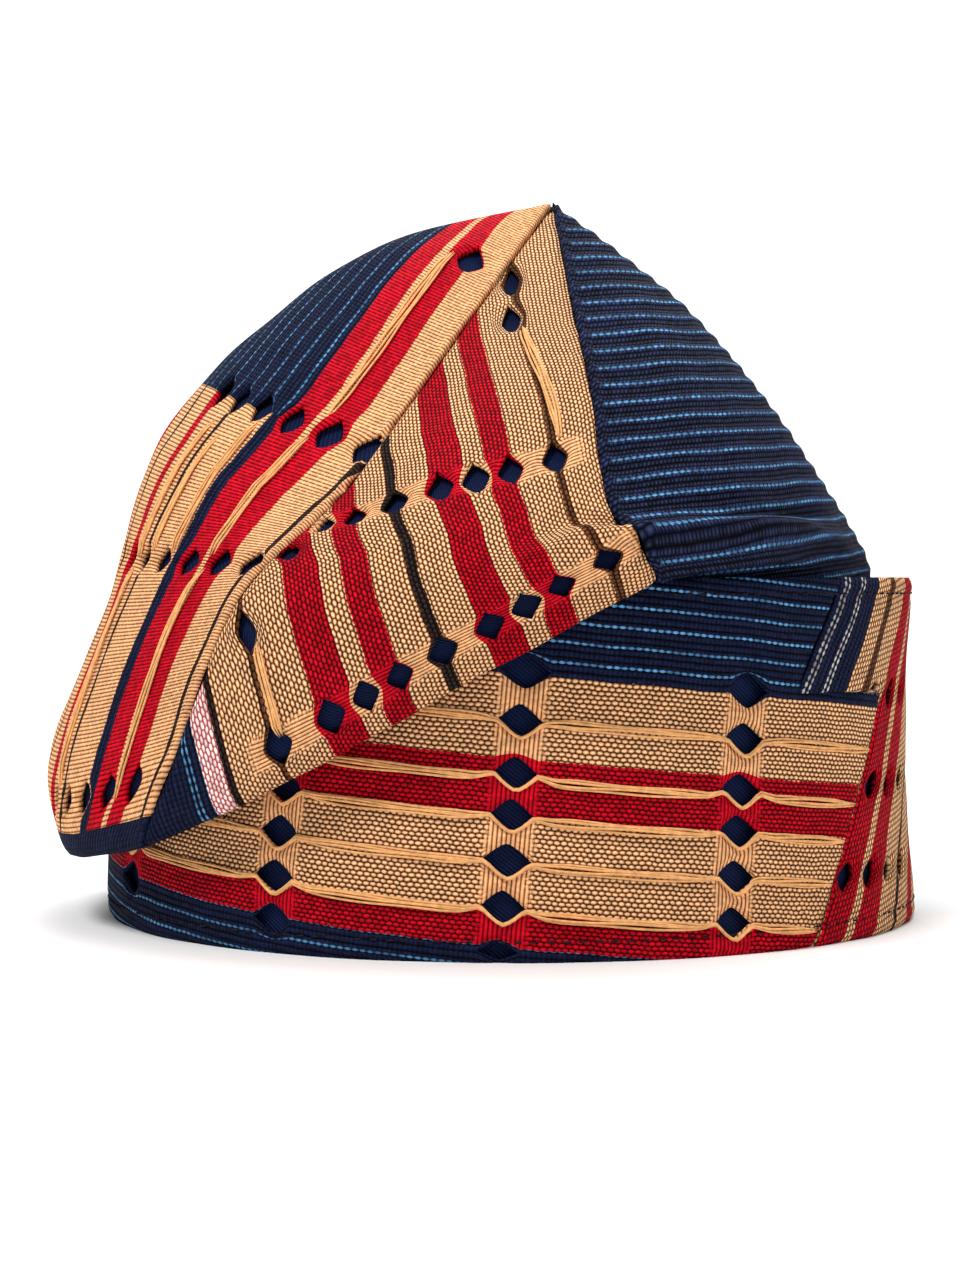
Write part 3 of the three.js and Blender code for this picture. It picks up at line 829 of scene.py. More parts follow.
@dataclass
class ClothSheet:
    """A sheet of cloth made as a grid in its own coordinates, opened at its slits, and laid on a shape.

    Rows run along the slits. lay takes the grid's along and across places and gives, for each, its
    place in the cap, its outward normal, and its along and across cloth coordinates.
    """

    name: str
    along: Array
    across: Array
    lay: Mapping
    slits: Sequence[Slit] = ()
    thickness: float = CLOTH
    face: float = CLOTH_FACE
    swell: float = 0.35
    seed: float = 0.0
    hemmed: bool = False

    def _width(self, slit: Slit, along: Array) -> Array:
        """How far a slit is drawn open to each side at places along it."""
        away = np.abs(along - slit.along) / slit.half_length
        return slit.half_width * np.maximum(1.0 - away**slit.round, 0.0)

    def _opened(self, along: Array, across: Array, side: Array) -> Array:
        """Across places after the yarns are drawn apart at every slit."""
        moved = across.copy()
        for slit in self.slits:
            width = self._width(slit, along)
            away = across - slit.across
            near = (np.abs(away) < slit.reach) & (width > 0.0)
            sign = np.where(np.abs(away) < 1e-6, side, np.sign(away))
            drawn = slit.across + sign * (width + np.abs(away) * (1.0 - width / slit.reach))
            moved = np.where(near, drawn, moved)
        return moved

    def _rolled(self, along: Array, across: Array) -> Array:
        """How far the cloth at places is rolled in beside a slit, from 0 to 1."""
        roll = np.zeros_like(across)
        for slit in self.slits:
            width = self._width(slit, along)
            edge = np.maximum(np.abs(across - slit.across) - width, 0.0) / ROLL_REACH
            roll = np.maximum(roll, np.exp(-(edge**2)) * smooth_step(0.0, 1.2, width))
        return roll

    def _cut(self, bm: bmesh.types.BMesh, columns: int, rows: int) -> None:
        """Splits the flat grid's edges along every slit."""
        i, j, _ = grid_places(bm.verts, columns, rows)
        grid = {(a, b): vert for a, b, vert in zip(i, j, bm.verts)}
        cuts = []
        for slit in self.slits:
            row = int(np.argmin(np.abs(self.across - slit.across)))
            inside = np.nonzero(np.abs(self.along - slit.along) < slit.half_length)[0]
            for a in range(max(inside[0] - 1, 0), min(inside[-1] + 1, columns)):
                edge = bm.edges.get((grid[(a, row)], grid[(a + 1, row)]))
                if edge is not None:
                    cuts.append(edge)
        if cuts:
            bmesh.ops.split_edges(bm, edges=cuts)
        bm.verts.ensure_lookup_table()

    def make(self, finish: Material) -> Piece:
        """Builds the sheet as one object with its cloth UV map.

        Args:
            finish: the cloth's material.

        Returns:
            The finished object, not yet riding on anything.
        """
        columns, rows = len(self.along) - 1, len(self.across) - 1
        bm = bmesh.new()
        bmesh.ops.create_grid(bm, x_segments=columns, y_segments=rows, size=GRID_SIZE)
        self._cut(bm, columns, rows)
        i, j, place = grid_places(bm.verts, columns, rows)
        middle = np.array([
            np.mean([face.calc_center_median().y for face in vert.link_faces]) for vert in bm.verts
        ])
        along, across = self.along[i], self.across[j]
        opened = self._opened(along, across, np.sign(middle - place[:, 1]))
        points, normals, cloth_along, cloth_across = self.lay(along, opened)
        roll = self._rolled(along, cloth_across if self.hemmed else opened)
        if self.swell:
            points = points + normals * (self.swell * ripple(points, SWELL_REACH, self.seed))[:, None]
        points = points + normals * (self.face - ROLL_DEPTH * roll)[:, None]
        uv = np.stack([cloth_along, cloth_across + (across - opened)], axis=1) * MM
        layer = bm.loops.layers.uv.new("cloth")
        for vert, spot in zip(bm.verts, (points + CENTRE) * MM):
            vert.co = spot
        bm.verts.index_update()
        bm.normal_update()
        facing = 0.0
        for face in bm.faces:
            for loop in face.loops:
                loop[layer].uv = uv[loop.vert.index]
            facing += float(np.dot(face.normal, normals[face.verts[0].index]))
        if facing < 0.0:
            bmesh.ops.reverse_faces(bm, faces=bm.faces)
        bmesh.ops.remove_doubles(bm, verts=bm.verts, dist=WELD)
        specks = [face for face in bm.faces if face.calc_area() < SPECK]
        bmesh.ops.delete(bm, geom=specks, context="FACES")
        bmesh.ops.delete(bm, geom=[vert for vert in bm.verts if not vert.link_faces], context="VERTS")
        piece = object_of(self.name, bm, finish)
        wall = piece.modifiers.new("wall", "SOLIDIFY")
        wall.thickness = self.thickness * MM
        wall.offset = -1.0
        return piece


def even_lines(low: float, high: float, step: float, through: Sequence[float] = ()) -> Array:
    """Grid lines about a step apart that pass exactly through some places.

    Args:
        low: the first line.
        high: the last line.
        step: the spacing aimed at.
        through: places that each need a line.

    Returns:
        The places of the lines, rising.
    """
    marks = sorted({low, high, *(place for place in through if low < place < high)})
    lines = [np.array([low])]
    for a, b in zip(marks, marks[1:]):
        lines.append(np.linspace(a, b, max(1, round((b - a) / step)) + 1)[1:])
    return np.concatenate(lines)


@dataclass
class Band:
    """The band: a front panel with level stripes, a side and back panel with slanting ones, and a lining."""

    shape: BandShape
    stripe_fall: float = 0.095
    seam_back: float = 150.0
    seam_foot_arc: float = 68.5
    seam_step_height: float = 53.0
    seam_step: float = 34.8
    gap_rows: Sequence[float] = (2.0, 11.2, 20.6, 30.1, 38.7, 49.4, 59.6)
    gap_column_first: float = 49.2
    gap_column_step: float = -49.5
    gap_column_count: int = 5
    side_slant: float = 30.0

    @property
    def slope(self) -> float:
        """How far the side seam moves along the wall for a millimetre of height."""
        return math.tan(math.radians(self.side_slant))

    @property
    def front_end(self) -> float:
        """Where the front panel ends at the back seam, along the wall."""
        return self.shape.arc_at(self.seam_back)

    @property
    def side_end(self) -> float:
        """Where the side panel ends at the back seam, along the wall."""
        return self.shape.arc_at(self.seam_back + FULL_TURN)

    def seam_arc(self, height: Array) -> Array:
        """Where the side seam stands along the wall at a height: it slants, and steps back under the rim."""
        step = np.where(height > self.seam_step_height, self.seam_step, 0.0)
        return self.seam_foot_arc + self.slope * height - step

    @property
    def side_from(self) -> float:
        """Where the side panel's first stripe meets the foot of the wall."""
        return self.seam_foot_arc - self.seam_step

    def wall(self, arc: Array, height: Array) -> tuple[Array, Array]:
        """Places and outward normals of the band's outer wall's cloth middle."""
        angle = self.shape.angle_at(arc)
        point = self.shape.point(angle, height, WALL_INSET)
        ahead, above = (
            self.shape.point(angle + turn, height + rise, WALL_INSET)
            - self.shape.point(angle - turn, height - rise, WALL_INSET)
            for turn, rise in ((0.2, 0.0), (0.0, 0.5))
        )
        normal = np.cross(ahead, above)
        return point, normal / np.linalg.norm(normal, axis=1, keepdims=True)

    def front_columns(self) -> list[float]:
        """Where the columns of openwork stand along the front's stripes."""
        return [self.gap_column_first + k * self.gap_column_step for k in range(self.gap_column_count)]

    def front_slits(self) -> list[Slit]:
        """The gaps of the front panel, each column leaning square to the stripes."""
        half = self.shape.height / 2
        slits = []
        for column in self.front_columns():
            for row in self.gap_rows:
                along = column + self.stripe_fall * (row - half)
                room = min(3.55, row - self.stripe_fall * along - 0.4)
                vary = 1.0 + 0.1 * math.sin(5.3 * column + 2.9 * row)
                if room > 1.0:
                    slits.append(Slit(along, row, 4.6 * vary, min(room, 3.55 * vary), 4.25))
        return slits

    def lay_front(self, along: Array, across: Array) -> Laid:
        """Lays the front panel: along is arc length, across is height on the falling stripes."""
        back, fall, top = self.front_end, self.stripe_fall, self.shape.height
        arc = np.maximum(along, back)
        step = np.where(across - fall * arc > self.seam_step_height, self.seam_step, 0.0)
        seam = (self.seam_foot_arc + self.slope * across - step) / (1.0 + self.slope * fall)
        head = self.seam_foot_arc + self.slope * top - self.seam_step
        limit = np.where(step > 0.0, np.minimum(seam, head), np.maximum(seam, self.seam_foot_arc))
        arc = np.minimum(arc, limit)
        height = np.clip(across - fall * arc, 0.0, top)
        point, normal = self.wall(arc, height)
        from_seam = np.minimum(arc - back, self.seam_arc(height) - arc)
        point = point - normal * self.edge_dip(height, from_seam)[:, None]
        return point, normal, arc - fall * (height - top / 2), height + fall * arc

    def lay_side(self, along: Array, across: Array) -> Laid:
        """Lays the side panel: along is height, across is arc length on the slanting stripes."""
        foot, end, height = self.side_from, self.side_end, along
        seam = self.seam_arc(height)
        arc = np.clip(foot + across + self.slope * height, seam, end)
        point, normal = self.wall(arc, height)
        point = point - normal * self.edge_dip(height, np.minimum(arc - seam, end - arc))[:, None]
        slant = math.radians(self.side_slant)
        along_cloth = height * math.cos(slant) + (arc - foot) * math.sin(slant)
        return point, normal, along_cloth, (arc - foot) * math.cos(slant) - height * math.sin(slant)

    def edge_dip(self, height: Array, from_seam: Array) -> Array:
        """How far the cloth turns in at its hems and seams."""
        hem = np.minimum(height, self.shape.height - height)
        turned = 0.9 * fade(0.0, 1.6, hem)
        stitched = 0.3 * hump(hem, 4.3, 0.7)
        return turned + stitched + 0.7 * fade(0.0, 1.8, from_seam)

    def make_front(self, finish: Material) -> Piece:
        """The front panel."""
        back, head = self.front_end, float(self.seam_arc(np.array([self.seam_step_height]))[0])
        top = self.shape.height + self.stripe_fall * head
        return ClothSheet(
            "band_front_cloth",
            even_lines(back, head + 0.5, 0.85), even_lines(self.stripe_fall * back, top, 0.95, self.gap_rows),
            self.lay_front, self.front_slits(), seed=3.0, hemmed=True,
        ).make(finish)

    def side_slits(self) -> list[Slit]:
        """The gaps of the side panel, in rows of a height, a start and a count."""
        rows = ((14, 47, 4), (33, 60, 4), (53, 62, 3), (14, 165, 4), (33, 171, 4), (53, 177, 4))
        return [
            Slit(float(height), round(first + 10.5 * k - self.slope * height, 1), 3.6, 2.8, 5.0)
            for height, first, count in rows for k in range(count)
        ]

    def make_side(self, finish: Material) -> Piece:
        """The side and back panel."""
        length = self.side_end - self.side_from
        slits = self.side_slits()
        return ClothSheet(
            "band_side_cloth",
            even_lines(0.0, self.shape.height, 0.95),
            even_lines(-self.slope * self.shape.height, length, 1.0, [slit.across for slit in slits]),
            self.lay_side, slits, seed=11.0,
        ).make(finish)

    def make_lining(self, finish: Material) -> Piece:
        """The lining, a plain ring inside both panels."""
        def lay(along: Array, across: Array) -> Laid:
            """Lays the ring just inside the outer cloth."""
            point, normal = self.wall(along, across)
            return point - normal * LINING_INSET, normal, along, across

        return ClothSheet(
            "band_lining_cloth", even_lines(0.0, self.shape.girth, 3.0), even_lines(0.8, 76.0, 4.0), lay,
            thickness=LINING, face=0.0, swell=0.0,
        ).make(finish)


@dataclass(frozen=True)
class GapRow:
    """A row of gaps on the crown.

    It gives the first gap's ring, the gaps' places across the cloth, the change of ring from one to
    the next, and their half sizes before each is varied a little.
    """

    ring: float
    places: Sequence[float]
    lean: float = 0.0
    half_length: float = 4.7
    half_width: float = 3.3


@dataclass(frozen=True)
class StripeDrift:
    """How the stripes lie at one ring: scale times their cloth places, plus shift, less a bend between."""

    ring: float
    scale: float
    shift: float
    bend: float = 0.0


class Layout(Enum):
    """How a crown panel's grid follows its cloth."""

    STRIPES = "stripes run from tip to fold, side by side from one seam"
    FAN = "lines run round the crown and the columns meet at the tip"


@dataclass(frozen=True)
class Pucker:
    """A pinched corner at a panel's first seam: a ridge round the crown with a valley above it."""

    height: float = 2.0
    ring: float = 7.62
    dip: float = 0.3
    dip_reach: float = 9.0
    fades: tuple[float, float] = (5.0, 30.0)
    ridge_width: float = 0.25
    valley_above: float = 0.42
    valley_width: float = 0.18
    valley_share: float = 0.6
    rise_share: float = 0.6

    def at(self, ring: Array, distance: Array) -> tuple[Array, Array]:
        """How far the cloth lifts off its shape, and how far it rises, at places."""
        corner = fade(*self.fades, distance)
        past = ring - (self.ring - self.dip * fade(0.0, self.dip_reach, distance))
        ridge = corner * hump(past, 0.0, self.ridge_width)
        valley = corner * hump(past, self.valley_above, self.valley_width)
        return self.height * (ridge - self.valley_share * valley), self.rise_share * self.height * ridge


@dataclass(frozen=True)
class FootFold:
    """The soft roll at the foot of a panel that lies on the band's rim, and the crease above it."""

    roll: float = 3.9
    roll_ring: float = 7.2
    roll_width: float = 0.33
    roll_fades: tuple[float, float] = (40.0, 84.0)
    crease: float = 1.2
    crease_ring: float = 7.86
    crease_width: float = 0.2
    crease_begins: tuple[float, float] = (2.0, 30.0)
    crease_fades: tuple[float, float] = (60.0, 96.0)

    def at(self, ring: Array, distance: Array) -> Array:
        """How far the cloth lifts off its shape at places."""
        bulge = hump(ring, self.roll_ring, self.roll_width) * fade(*self.roll_fades, distance)
        crease = hump(ring, self.crease_ring, self.crease_width) * smooth_step(*self.crease_begins, distance)
        return self.roll * bulge - self.crease * (crease * fade(*self.crease_fades, distance))


@dataclass
class CrownPanel:
    """One of the crown's four panels, between two seams."""

    shape: CrownShape
    name: str
    from_seam: str
    to_seam: str
    direction: int
    layout: Layout
    gap_rows: Sequence[GapRow] = ()
    drift: Sequence[StripeDrift] = (StripeDrift(0.0, 1.0, 0.0),)
    lip: float = -0.6
    lip_reach: float = 2.2
    far_lip: float = -0.6
    pucker: Pucker | None = None
    foot: FootFold = FootFold()
    line_step: float = 4.1
    line_rise: float = 0.12
    seed: float = 0.0
    places: Array = field(init=False)
    rings: Array = field(init=False)
    ring_table: Array = field(init=False)
    ring_at: Array = field(init=False)
    up_at: Array = field(init=False)

    def __post_init__(self) -> None:
        """Measures the rings between the two seams."""
        start, end = self.shape.seams[self.from_seam], self.shape.seams[self.to_seam]
        if end <= start:
            end += len(CROWN_SECTIONS)
        self.places = np.linspace(start, end, 241)
        if self.direction < 0:
            self.places = self.places[::-1]
        inset = 1e-4 * self.direction
        self.places[0] += inset
        self.places[-1] -= inset
        self.rings = np.linspace(0.0, self.shape.TIP, 441)
        u, v = np.meshgrid(self.places, self.rings)
        grid = self.shape.point(u, v)
        steps = np.linalg.norm(np.diff(grid, axis=1), axis=2)
        self.ring_table = np.concatenate([np.zeros((len(self.rings), 1)), np.cumsum(steps, axis=1)], axis=1)
        self.ring_at, self.up_at = self.shape.lengths_down(float(self.places[len(self.places) // 2]))

    def ring_length(self, ring: Array) -> Array:
        """The length of a ring between the seams."""
        return np.interp(ring, self.rings, self.ring_table[:, -1])

    def section_at(self, ring: Array, distance: Array) -> Array:
        """The section place that lies a distance along a ring from the first seam."""
        result = np.empty_like(distance)
        place = np.clip(ring / self.shape.TIP * (len(self.rings) - 1), 0, len(self.rings) - 1.000001)
        low = np.floor(place).astype(int)
        share = place - low
        for row in np.unique(low):
            pick = low == row
            for k in np.unique(share[pick]):
                spot = pick & (share == k)
                table = self.ring_table[row] * (1 - k) + self.ring_table[row + 1] * k
                result[spot] = np.interp(distance[spot], table, self.places)
        return result

    def height_of(self, ring: float) -> float:
        """Distance up the panel's middle section from the fold to a ring."""
        return float(np.interp(ring, self.ring_at, self.up_at))

    def ring_of(self, up: Array) -> Array:
        """The ring that lies a distance up the panel's middle section from the fold."""
        return np.interp(up, self.up_at, self.ring_at)

    def slits(self) -> list[Slit]:
        """The panel's gaps: rows of them, each at a ring."""
        slits = []
        for row in self.gap_rows:
            for k, place in enumerate(row.places):
                others = (abs(other - place) / 2 for other in row.places if other != place)
                room = min([WIDEST_REACH, *others])
                vary = 1.0 + 0.11 * math.sin(12.9 * row.ring + 7.7 * place)
                wide = min(row.half_width * vary, room - 0.4)
                up = self.height_of(row.ring + row.lean * k)
                slits.append(Slit(up, place, row.half_length * vary, wide, room))
        return slits

    def rib_rows(self) -> tuple[RibRow, ...]:
        """The ribs that the longer rows of gaps draw into the cloth."""
        rows = []
        for row in self.gap_rows:
            if len(row.places) > 1:
                first = self.height_of(row.ring)
                last = self.height_of(row.ring + row.lean * (len(row.places) - 1))
                rise = (last - first) / (row.places[-1] - row.places[0])
                rows.append(RibRow(first - rise * row.places[0], rise, row.places[0], row.places[-1]))
        return tuple(rows)

    def drift_at(self, ring: Array) -> tuple[Array, Array, Array]:
        """Scale, shift and bend of the stripes at rings."""
        rings = [row.ring for row in self.drift]
        scale, shift, bend = (
            np.interp(ring, rings, [getattr(row, column) for row in self.drift])
            for column in ("scale", "shift", "bend")
        )
        return scale, shift, bend

    def lay(self, along: Array, across: Array) -> Laid:
        """Lays the panel: along counts up from the fold, across counts from the first seam."""
        ring = self.ring_of(along)
        length = self.ring_length(ring)
        scale, shift, bend = self.drift_at(ring)
        evenly = np.clip(across * scale + shift, 0.0, length)
        bent = evenly - bend * np.sin(math.pi * evenly / np.maximum(length, 1e-6))
        distance = across * length if self.layout is Layout.FAN else bent
        u = self.section_at(ring, distance)
        point, normal = self.shape.point(u, ring), self.shape.normal(u, ring)
        lift = self.lip * fade(0.0, self.lip_reach, distance)
        if self.lip > 0.0:
            lift = lift - LIP_TUCK * fade(0.0, 1.0, distance) ** 2
        lift = lift + self.far_lip * fade(0.0, FAR_LIP_REACH, length - distance)
        lift = lift * smooth_step(-4.0, 2.0, along)
        if self.pucker:
            pinched, rise = self.pucker.at(ring, distance)
            lift = lift + pinched
            point = point + UP * rise[:, None]
        if self.layout is Layout.FAN:
            level = point[:, 2] - self.line_rise * (point[:, 0] - self.shape.axis_x)
            cords = CORD_DEPTH * np.cos(2 * math.pi * level / self.line_step)
            lift = lift - cords * smooth_step(-6.0, 0.0, along) + self.foot.at(ring, distance)
            return point + normal * lift[:, None], normal, distance, level
        return point + normal * lift[:, None], normal, along, (evenly - shift) / scale

    def make(self, finish: Material) -> Piece:
        """The panel's cloth, from its tail inside the band to the tip."""
        low, high = float(self.up_at[0]), float(self.up_at[-1])
        slits = self.slits()
        fine = 0.7 if self.layout is Layout.FAN else 0.95
        up = np.concatenate([even_lines(low, -8.0, 3.0)[:-1], even_lines(-8.0, high - 0.4, fine)])
        if self.layout is Layout.FAN:
            across = np.linspace(0.0, 1.0, 90)
        else:
            lengths = self.ring_table[:, -1]
            longest = max((length - row.shift) / row.scale for row in self.drift for length in lengths)
            first = min(-row.shift / row.scale for row in self.drift)
            through = {round(slit.across, 3) for slit in slits} | ({0.2, 0.45} if self.lip > 0.0 else set())
            across = even_lines(first, longest, 0.95, sorted(through))
        return ClothSheet(f"{self.name}_cloth", up, across, self.lay, slits, seed=self.seed).make(finish)


@dataclass
class YarnBundle:
    """Strands of loose yarn that lie side by side along a path on a panel's cloth."""

    along: Array
    across: Array
    width: Array
    lift: Array
    strands: int = 4
    radius: float = 0.27


@dataclass
class LooseYarn:
    """A piece made of many thin round yarns: floats over the cloth, or a row of stitches."""

    name: str
    sides: int = 5
    runs: list[tuple[Array, Array, Array]] = field(default_factory=list)

    def add_bundle(self, lay: Mapping, bundle: YarnBundle) -> None:
        """Lays a bundle's strands on a panel.

        Args:
            lay: the panel's laying function.
            bundle: the strands' path, width and lift.
        """
        count = len(bundle.along)
        s = np.linspace(0.0, 1.0, count)
        run = np.abs(bundle.along - bundle.along[0])
        taper = np.clip(np.minimum(s, 1.0 - s) * count / 2.5, 0.0, 1.0)
        for k in range(bundle.strands):
            share = (k - (bundle.strands - 1) / 2) / bundle.strands
            stray = 0.16 * np.sin(run * 0.11 + 2.1 * k) + 0.1 * np.sin(run * 0.31 + 4.7 * k)
            across = bundle.across + share * bundle.width + stray * np.minimum(bundle.width, 1.0)
            point, normal, _, _ = lay(bundle.along, across)
            rise = bundle.lift + 0.45 * (1.0 - (2.0 * share) ** 2) + 0.1 * np.sin(run * 0.12 + 1.7 * k)
            radius = bundle.radius * (0.25 + 0.75 * taper) * (taper > 0)
            self.runs.append((point + normal * rise[:, None], normal, radius))

    def add_stitch(self, points: Array, normals: Array, radius: float) -> None:
        """Adds one stitch, a short thread that dips into the cloth at both ends."""
        self.runs.append((points, normals, radius * np.array([0.0, 1.0, 1.0, 0.0])))

    def make(self, finish: Material) -> Piece:
        """Builds every run as a round closed tube in one object."""
        bm = bmesh.new()
        for points, normals, radii in self.runs:
            count = len(points)
            columns = count - 1
            made = bmesh.ops.create_grid(bm, x_segments=columns, y_segments=self.sides, size=GRID_SIZE)
            i, _, place = grid_places(made["verts"], columns, self.sides)
            turn = (place[:, 1] + GRID_SIZE) * 2.0 * math.pi
            ahead = np.gradient(points, axis=0)
            beside = np.cross(normals, ahead)
            beside /= np.maximum(np.linalg.norm(beside, axis=1, keepdims=True), 1e-9)
            ring = normals[i] * np.cos(turn)[:, None] + beside[i] * np.sin(turn)[:, None]
            world = (points[i] + ring * radii[i][:, None] + CENTRE) * MM
            for vert, spot in zip(made["verts"], world):
                vert.co = spot
        bmesh.ops.remove_doubles(bm, verts=bm.verts, dist=1e-6)
        bmesh.ops.recalc_face_normals(bm, faces=bm.faces)
        return object_of(self.name, bm, finish)


@dataclass(frozen=True)
class FloatRow:
    """One row of floats on the band: the row of gaps that it joins and the height of its runs."""

    gap_row: float
    run: float


@dataclass
class BandFloats:
    """Thick floats of tan yarn along the band's front, drawn down under each gap."""

    band: Band
    rows: Sequence[FloatRow] = (
        FloatRow(49.4, 49.4), FloatRow(38.7, 37.3), FloatRow(30.1, 29.2),
        FloatRow(20.6, 20.0), FloatRow(11.2, 10.0),
    )
    width: float = 2.2

    def make(self, finish: Material) -> Piece:
        """All the rows as one piece."""
        work = LooseYarn("band_float_yarns")
        band = self.band
        half = band.shape.height / 2
        back = band.front_end
        for row in self.rows:
            columns = np.array(band.front_columns()) + band.stripe_fall * (row.gap_row - half)
            height = row.run - band.stripe_fall * columns[0] - 5.0
            end = float(band.seam_arc(np.array([height]))[0]) - 0.5
            along = even_lines(back + 2.0, end, 1.25)
            away = np.abs(along[:, None] - columns[None, :]).min(axis=1)
            past = np.mod(along - columns[0], -band.gap_column_step) / -band.gap_column_step
            under = row.gap_row - 0.4 - 3.3 * np.maximum(1.0 - (away / 4.5) ** 1.35, 0.0)
            free = smooth_step(3.6, 9.0, away)
            across = under + (row.run - under) * free
            width = self.width * (0.2 + 0.8 * smooth_step(2.0, 13.0, away)) * (1.15 - 0.4 * past)
            width = width * (0.35 + 0.65 * smooth_step(0.0, 9.0, end - along))
            lift = 0.75 + 0.5 * free
            work.add_bundle(band.lay_front, YarnBundle(along, across, width, lift))
        return work.make(finish)


@dataclass(frozen=True)
class CrownFloat:
    """A float on a crown panel: rings that it runs between and distances from the seam there."""

    panel: int
    from_ring: float
    to_ring: float
    from_across: float
    to_across: float
    width: float = 2.4


@dataclass
class CrownFloats:
    """Floats of tan yarn that run along the crown's stripes from gap to gap."""

    panels: Sequence[CrownPanel]
    runs: Sequence[CrownFloat] = (
        CrownFloat(0, 9.72, 8.66, 6.4, 4.6, 2.6),
        CrownFloat(0, 7.68, 6.84, 81.6, 82.0, 2.2),
        CrownFloat(1, 10.3, 9.3, 17.6, 19.2, 2.6),
        CrownFloat(1, 9.22, 8.34, 19.4, 19.4, 2.6),
        CrownFloat(1, 8.26, 6.65, 19.0, 18.6, 2.4),
        CrownFloat(1, 9.2, 8.34, 33.8, 33.0, 2.6),
        CrownFloat(1, 9.1, 8.34, 42.5, 42.0, 2.2),
        CrownFloat(1, 9.15, 8.3, 49.5, 50.5, 2.4),
        CrownFloat(1, 8.26, 6.9, 51.0, 50.0, 2.2),
    )

    def make(self, finish: Material) -> Piece:
        """All the runs as one piece."""
        work = LooseYarn("crown_float_yarns")
        for run in self.runs:
            panel = self.panels[run.panel]
            low, high = panel.height_of(run.to_ring), panel.height_of(run.from_ring)
            count = max(8, round((high - low) / 1.3))
            t = np.linspace(0.0, 1.0, count)
            along = high + (low - high) * t
            bow = np.sin(math.pi * t)
            across = run.from_across + (run.to_across - run.from_across) * t
            width = run.width * (0.4 + 0.6 * np.minimum(1.0, 2.2 * bow))
            lift = 0.35 + 0.9 * np.minimum(1.0, 3.0 * bow)
            work.add_bundle(panel.lay, YarnBundle(along, across, width, lift))
        return work.make(finish)


@dataclass
class HemStitches:
    """Dark running stitches near the band's upper and lower edges."""

    band: Band
    heights: Sequence[float] = (4.3, 75.0)
    length: float = 2.3
    step: float = 3.3

    def make(self, finish: Material) -> Piece:
        """Both rows as one piece."""
        work = LooseYarn("band_hem_stitches", sides=4)
        girth = self.band.shape.girth
        for height in self.heights:
            for k in range(int(girth / self.step)):
                arc = -100.0 + k * self.step + self.length * np.array([0.0, 0.25, 0.75, 1.0])
                point, normal = self.band.wall(arc, np.full(4, height))
                out = np.array([0.2, 0.95, 0.95, 0.2])
                work.add_stitch(point + normal * out[:, None], normal, 0.22)
        return work.make(finish)


@dataclass
class CrownLining:
    """The crown's lining, a soft shell just inside the panels that closes at the tip."""

    shape: CrownShape
    inset: float = 1.55
    feet: dict[Way, float] = field(
        default_factory=lambda: {Way.HANG: 6.5, Way.OVER: 6.6, Way.RISE: 7.2, Way.INSIDE: 7.0}
    )

    def lay(self, along: Array, across: Array) -> Laid:
        """Lays the shell: along runs 0 at its foot to 1 at the tip, across counts sections."""
        count = len(CROWN_SECTIONS)
        feet = np.array([self.feet[CROWN_SECTIONS[k % count].way] for k in range(count + 1)])
        foot = np.interp(across, np.arange(count + 1), feet)
        ring = foot + (self.shape.TIP - foot) * along
        near = np.minimum(ring, self.shape.TIP - 0.06)
        point, normal = self.shape.point(across, near), self.shape.normal(across, near)
        tip = (ring > self.shape.TIP - 0.05)[:, None]
        point = np.where(tip, np.array([self.shape.axis_x, 0.0, self.shape.tip_height]), point)
        normal = np.where(tip, UP, normal)
        return point - normal * self.inset, normal, along * 150.0, across * 30.0

    def make(self, finish: Material) -> Piece:
        """The shell as one piece."""
        count = len(CROWN_SECTIONS)
        return ClothSheet(
            "crown_lining_cloth", np.linspace(0.0, 1.0, 61), np.linspace(0.0, count, count * 8 + 1), self.lay,
            thickness=LINING, face=0.0, swell=0.0,
        ).make(finish)


@dataclass(frozen=True)
class Lamp:
    """A square lamp aimed at the cap: its place and size in metres and its power in watts."""

    name: str
    place: tuple[float, float, float]
    power: float
    size: float


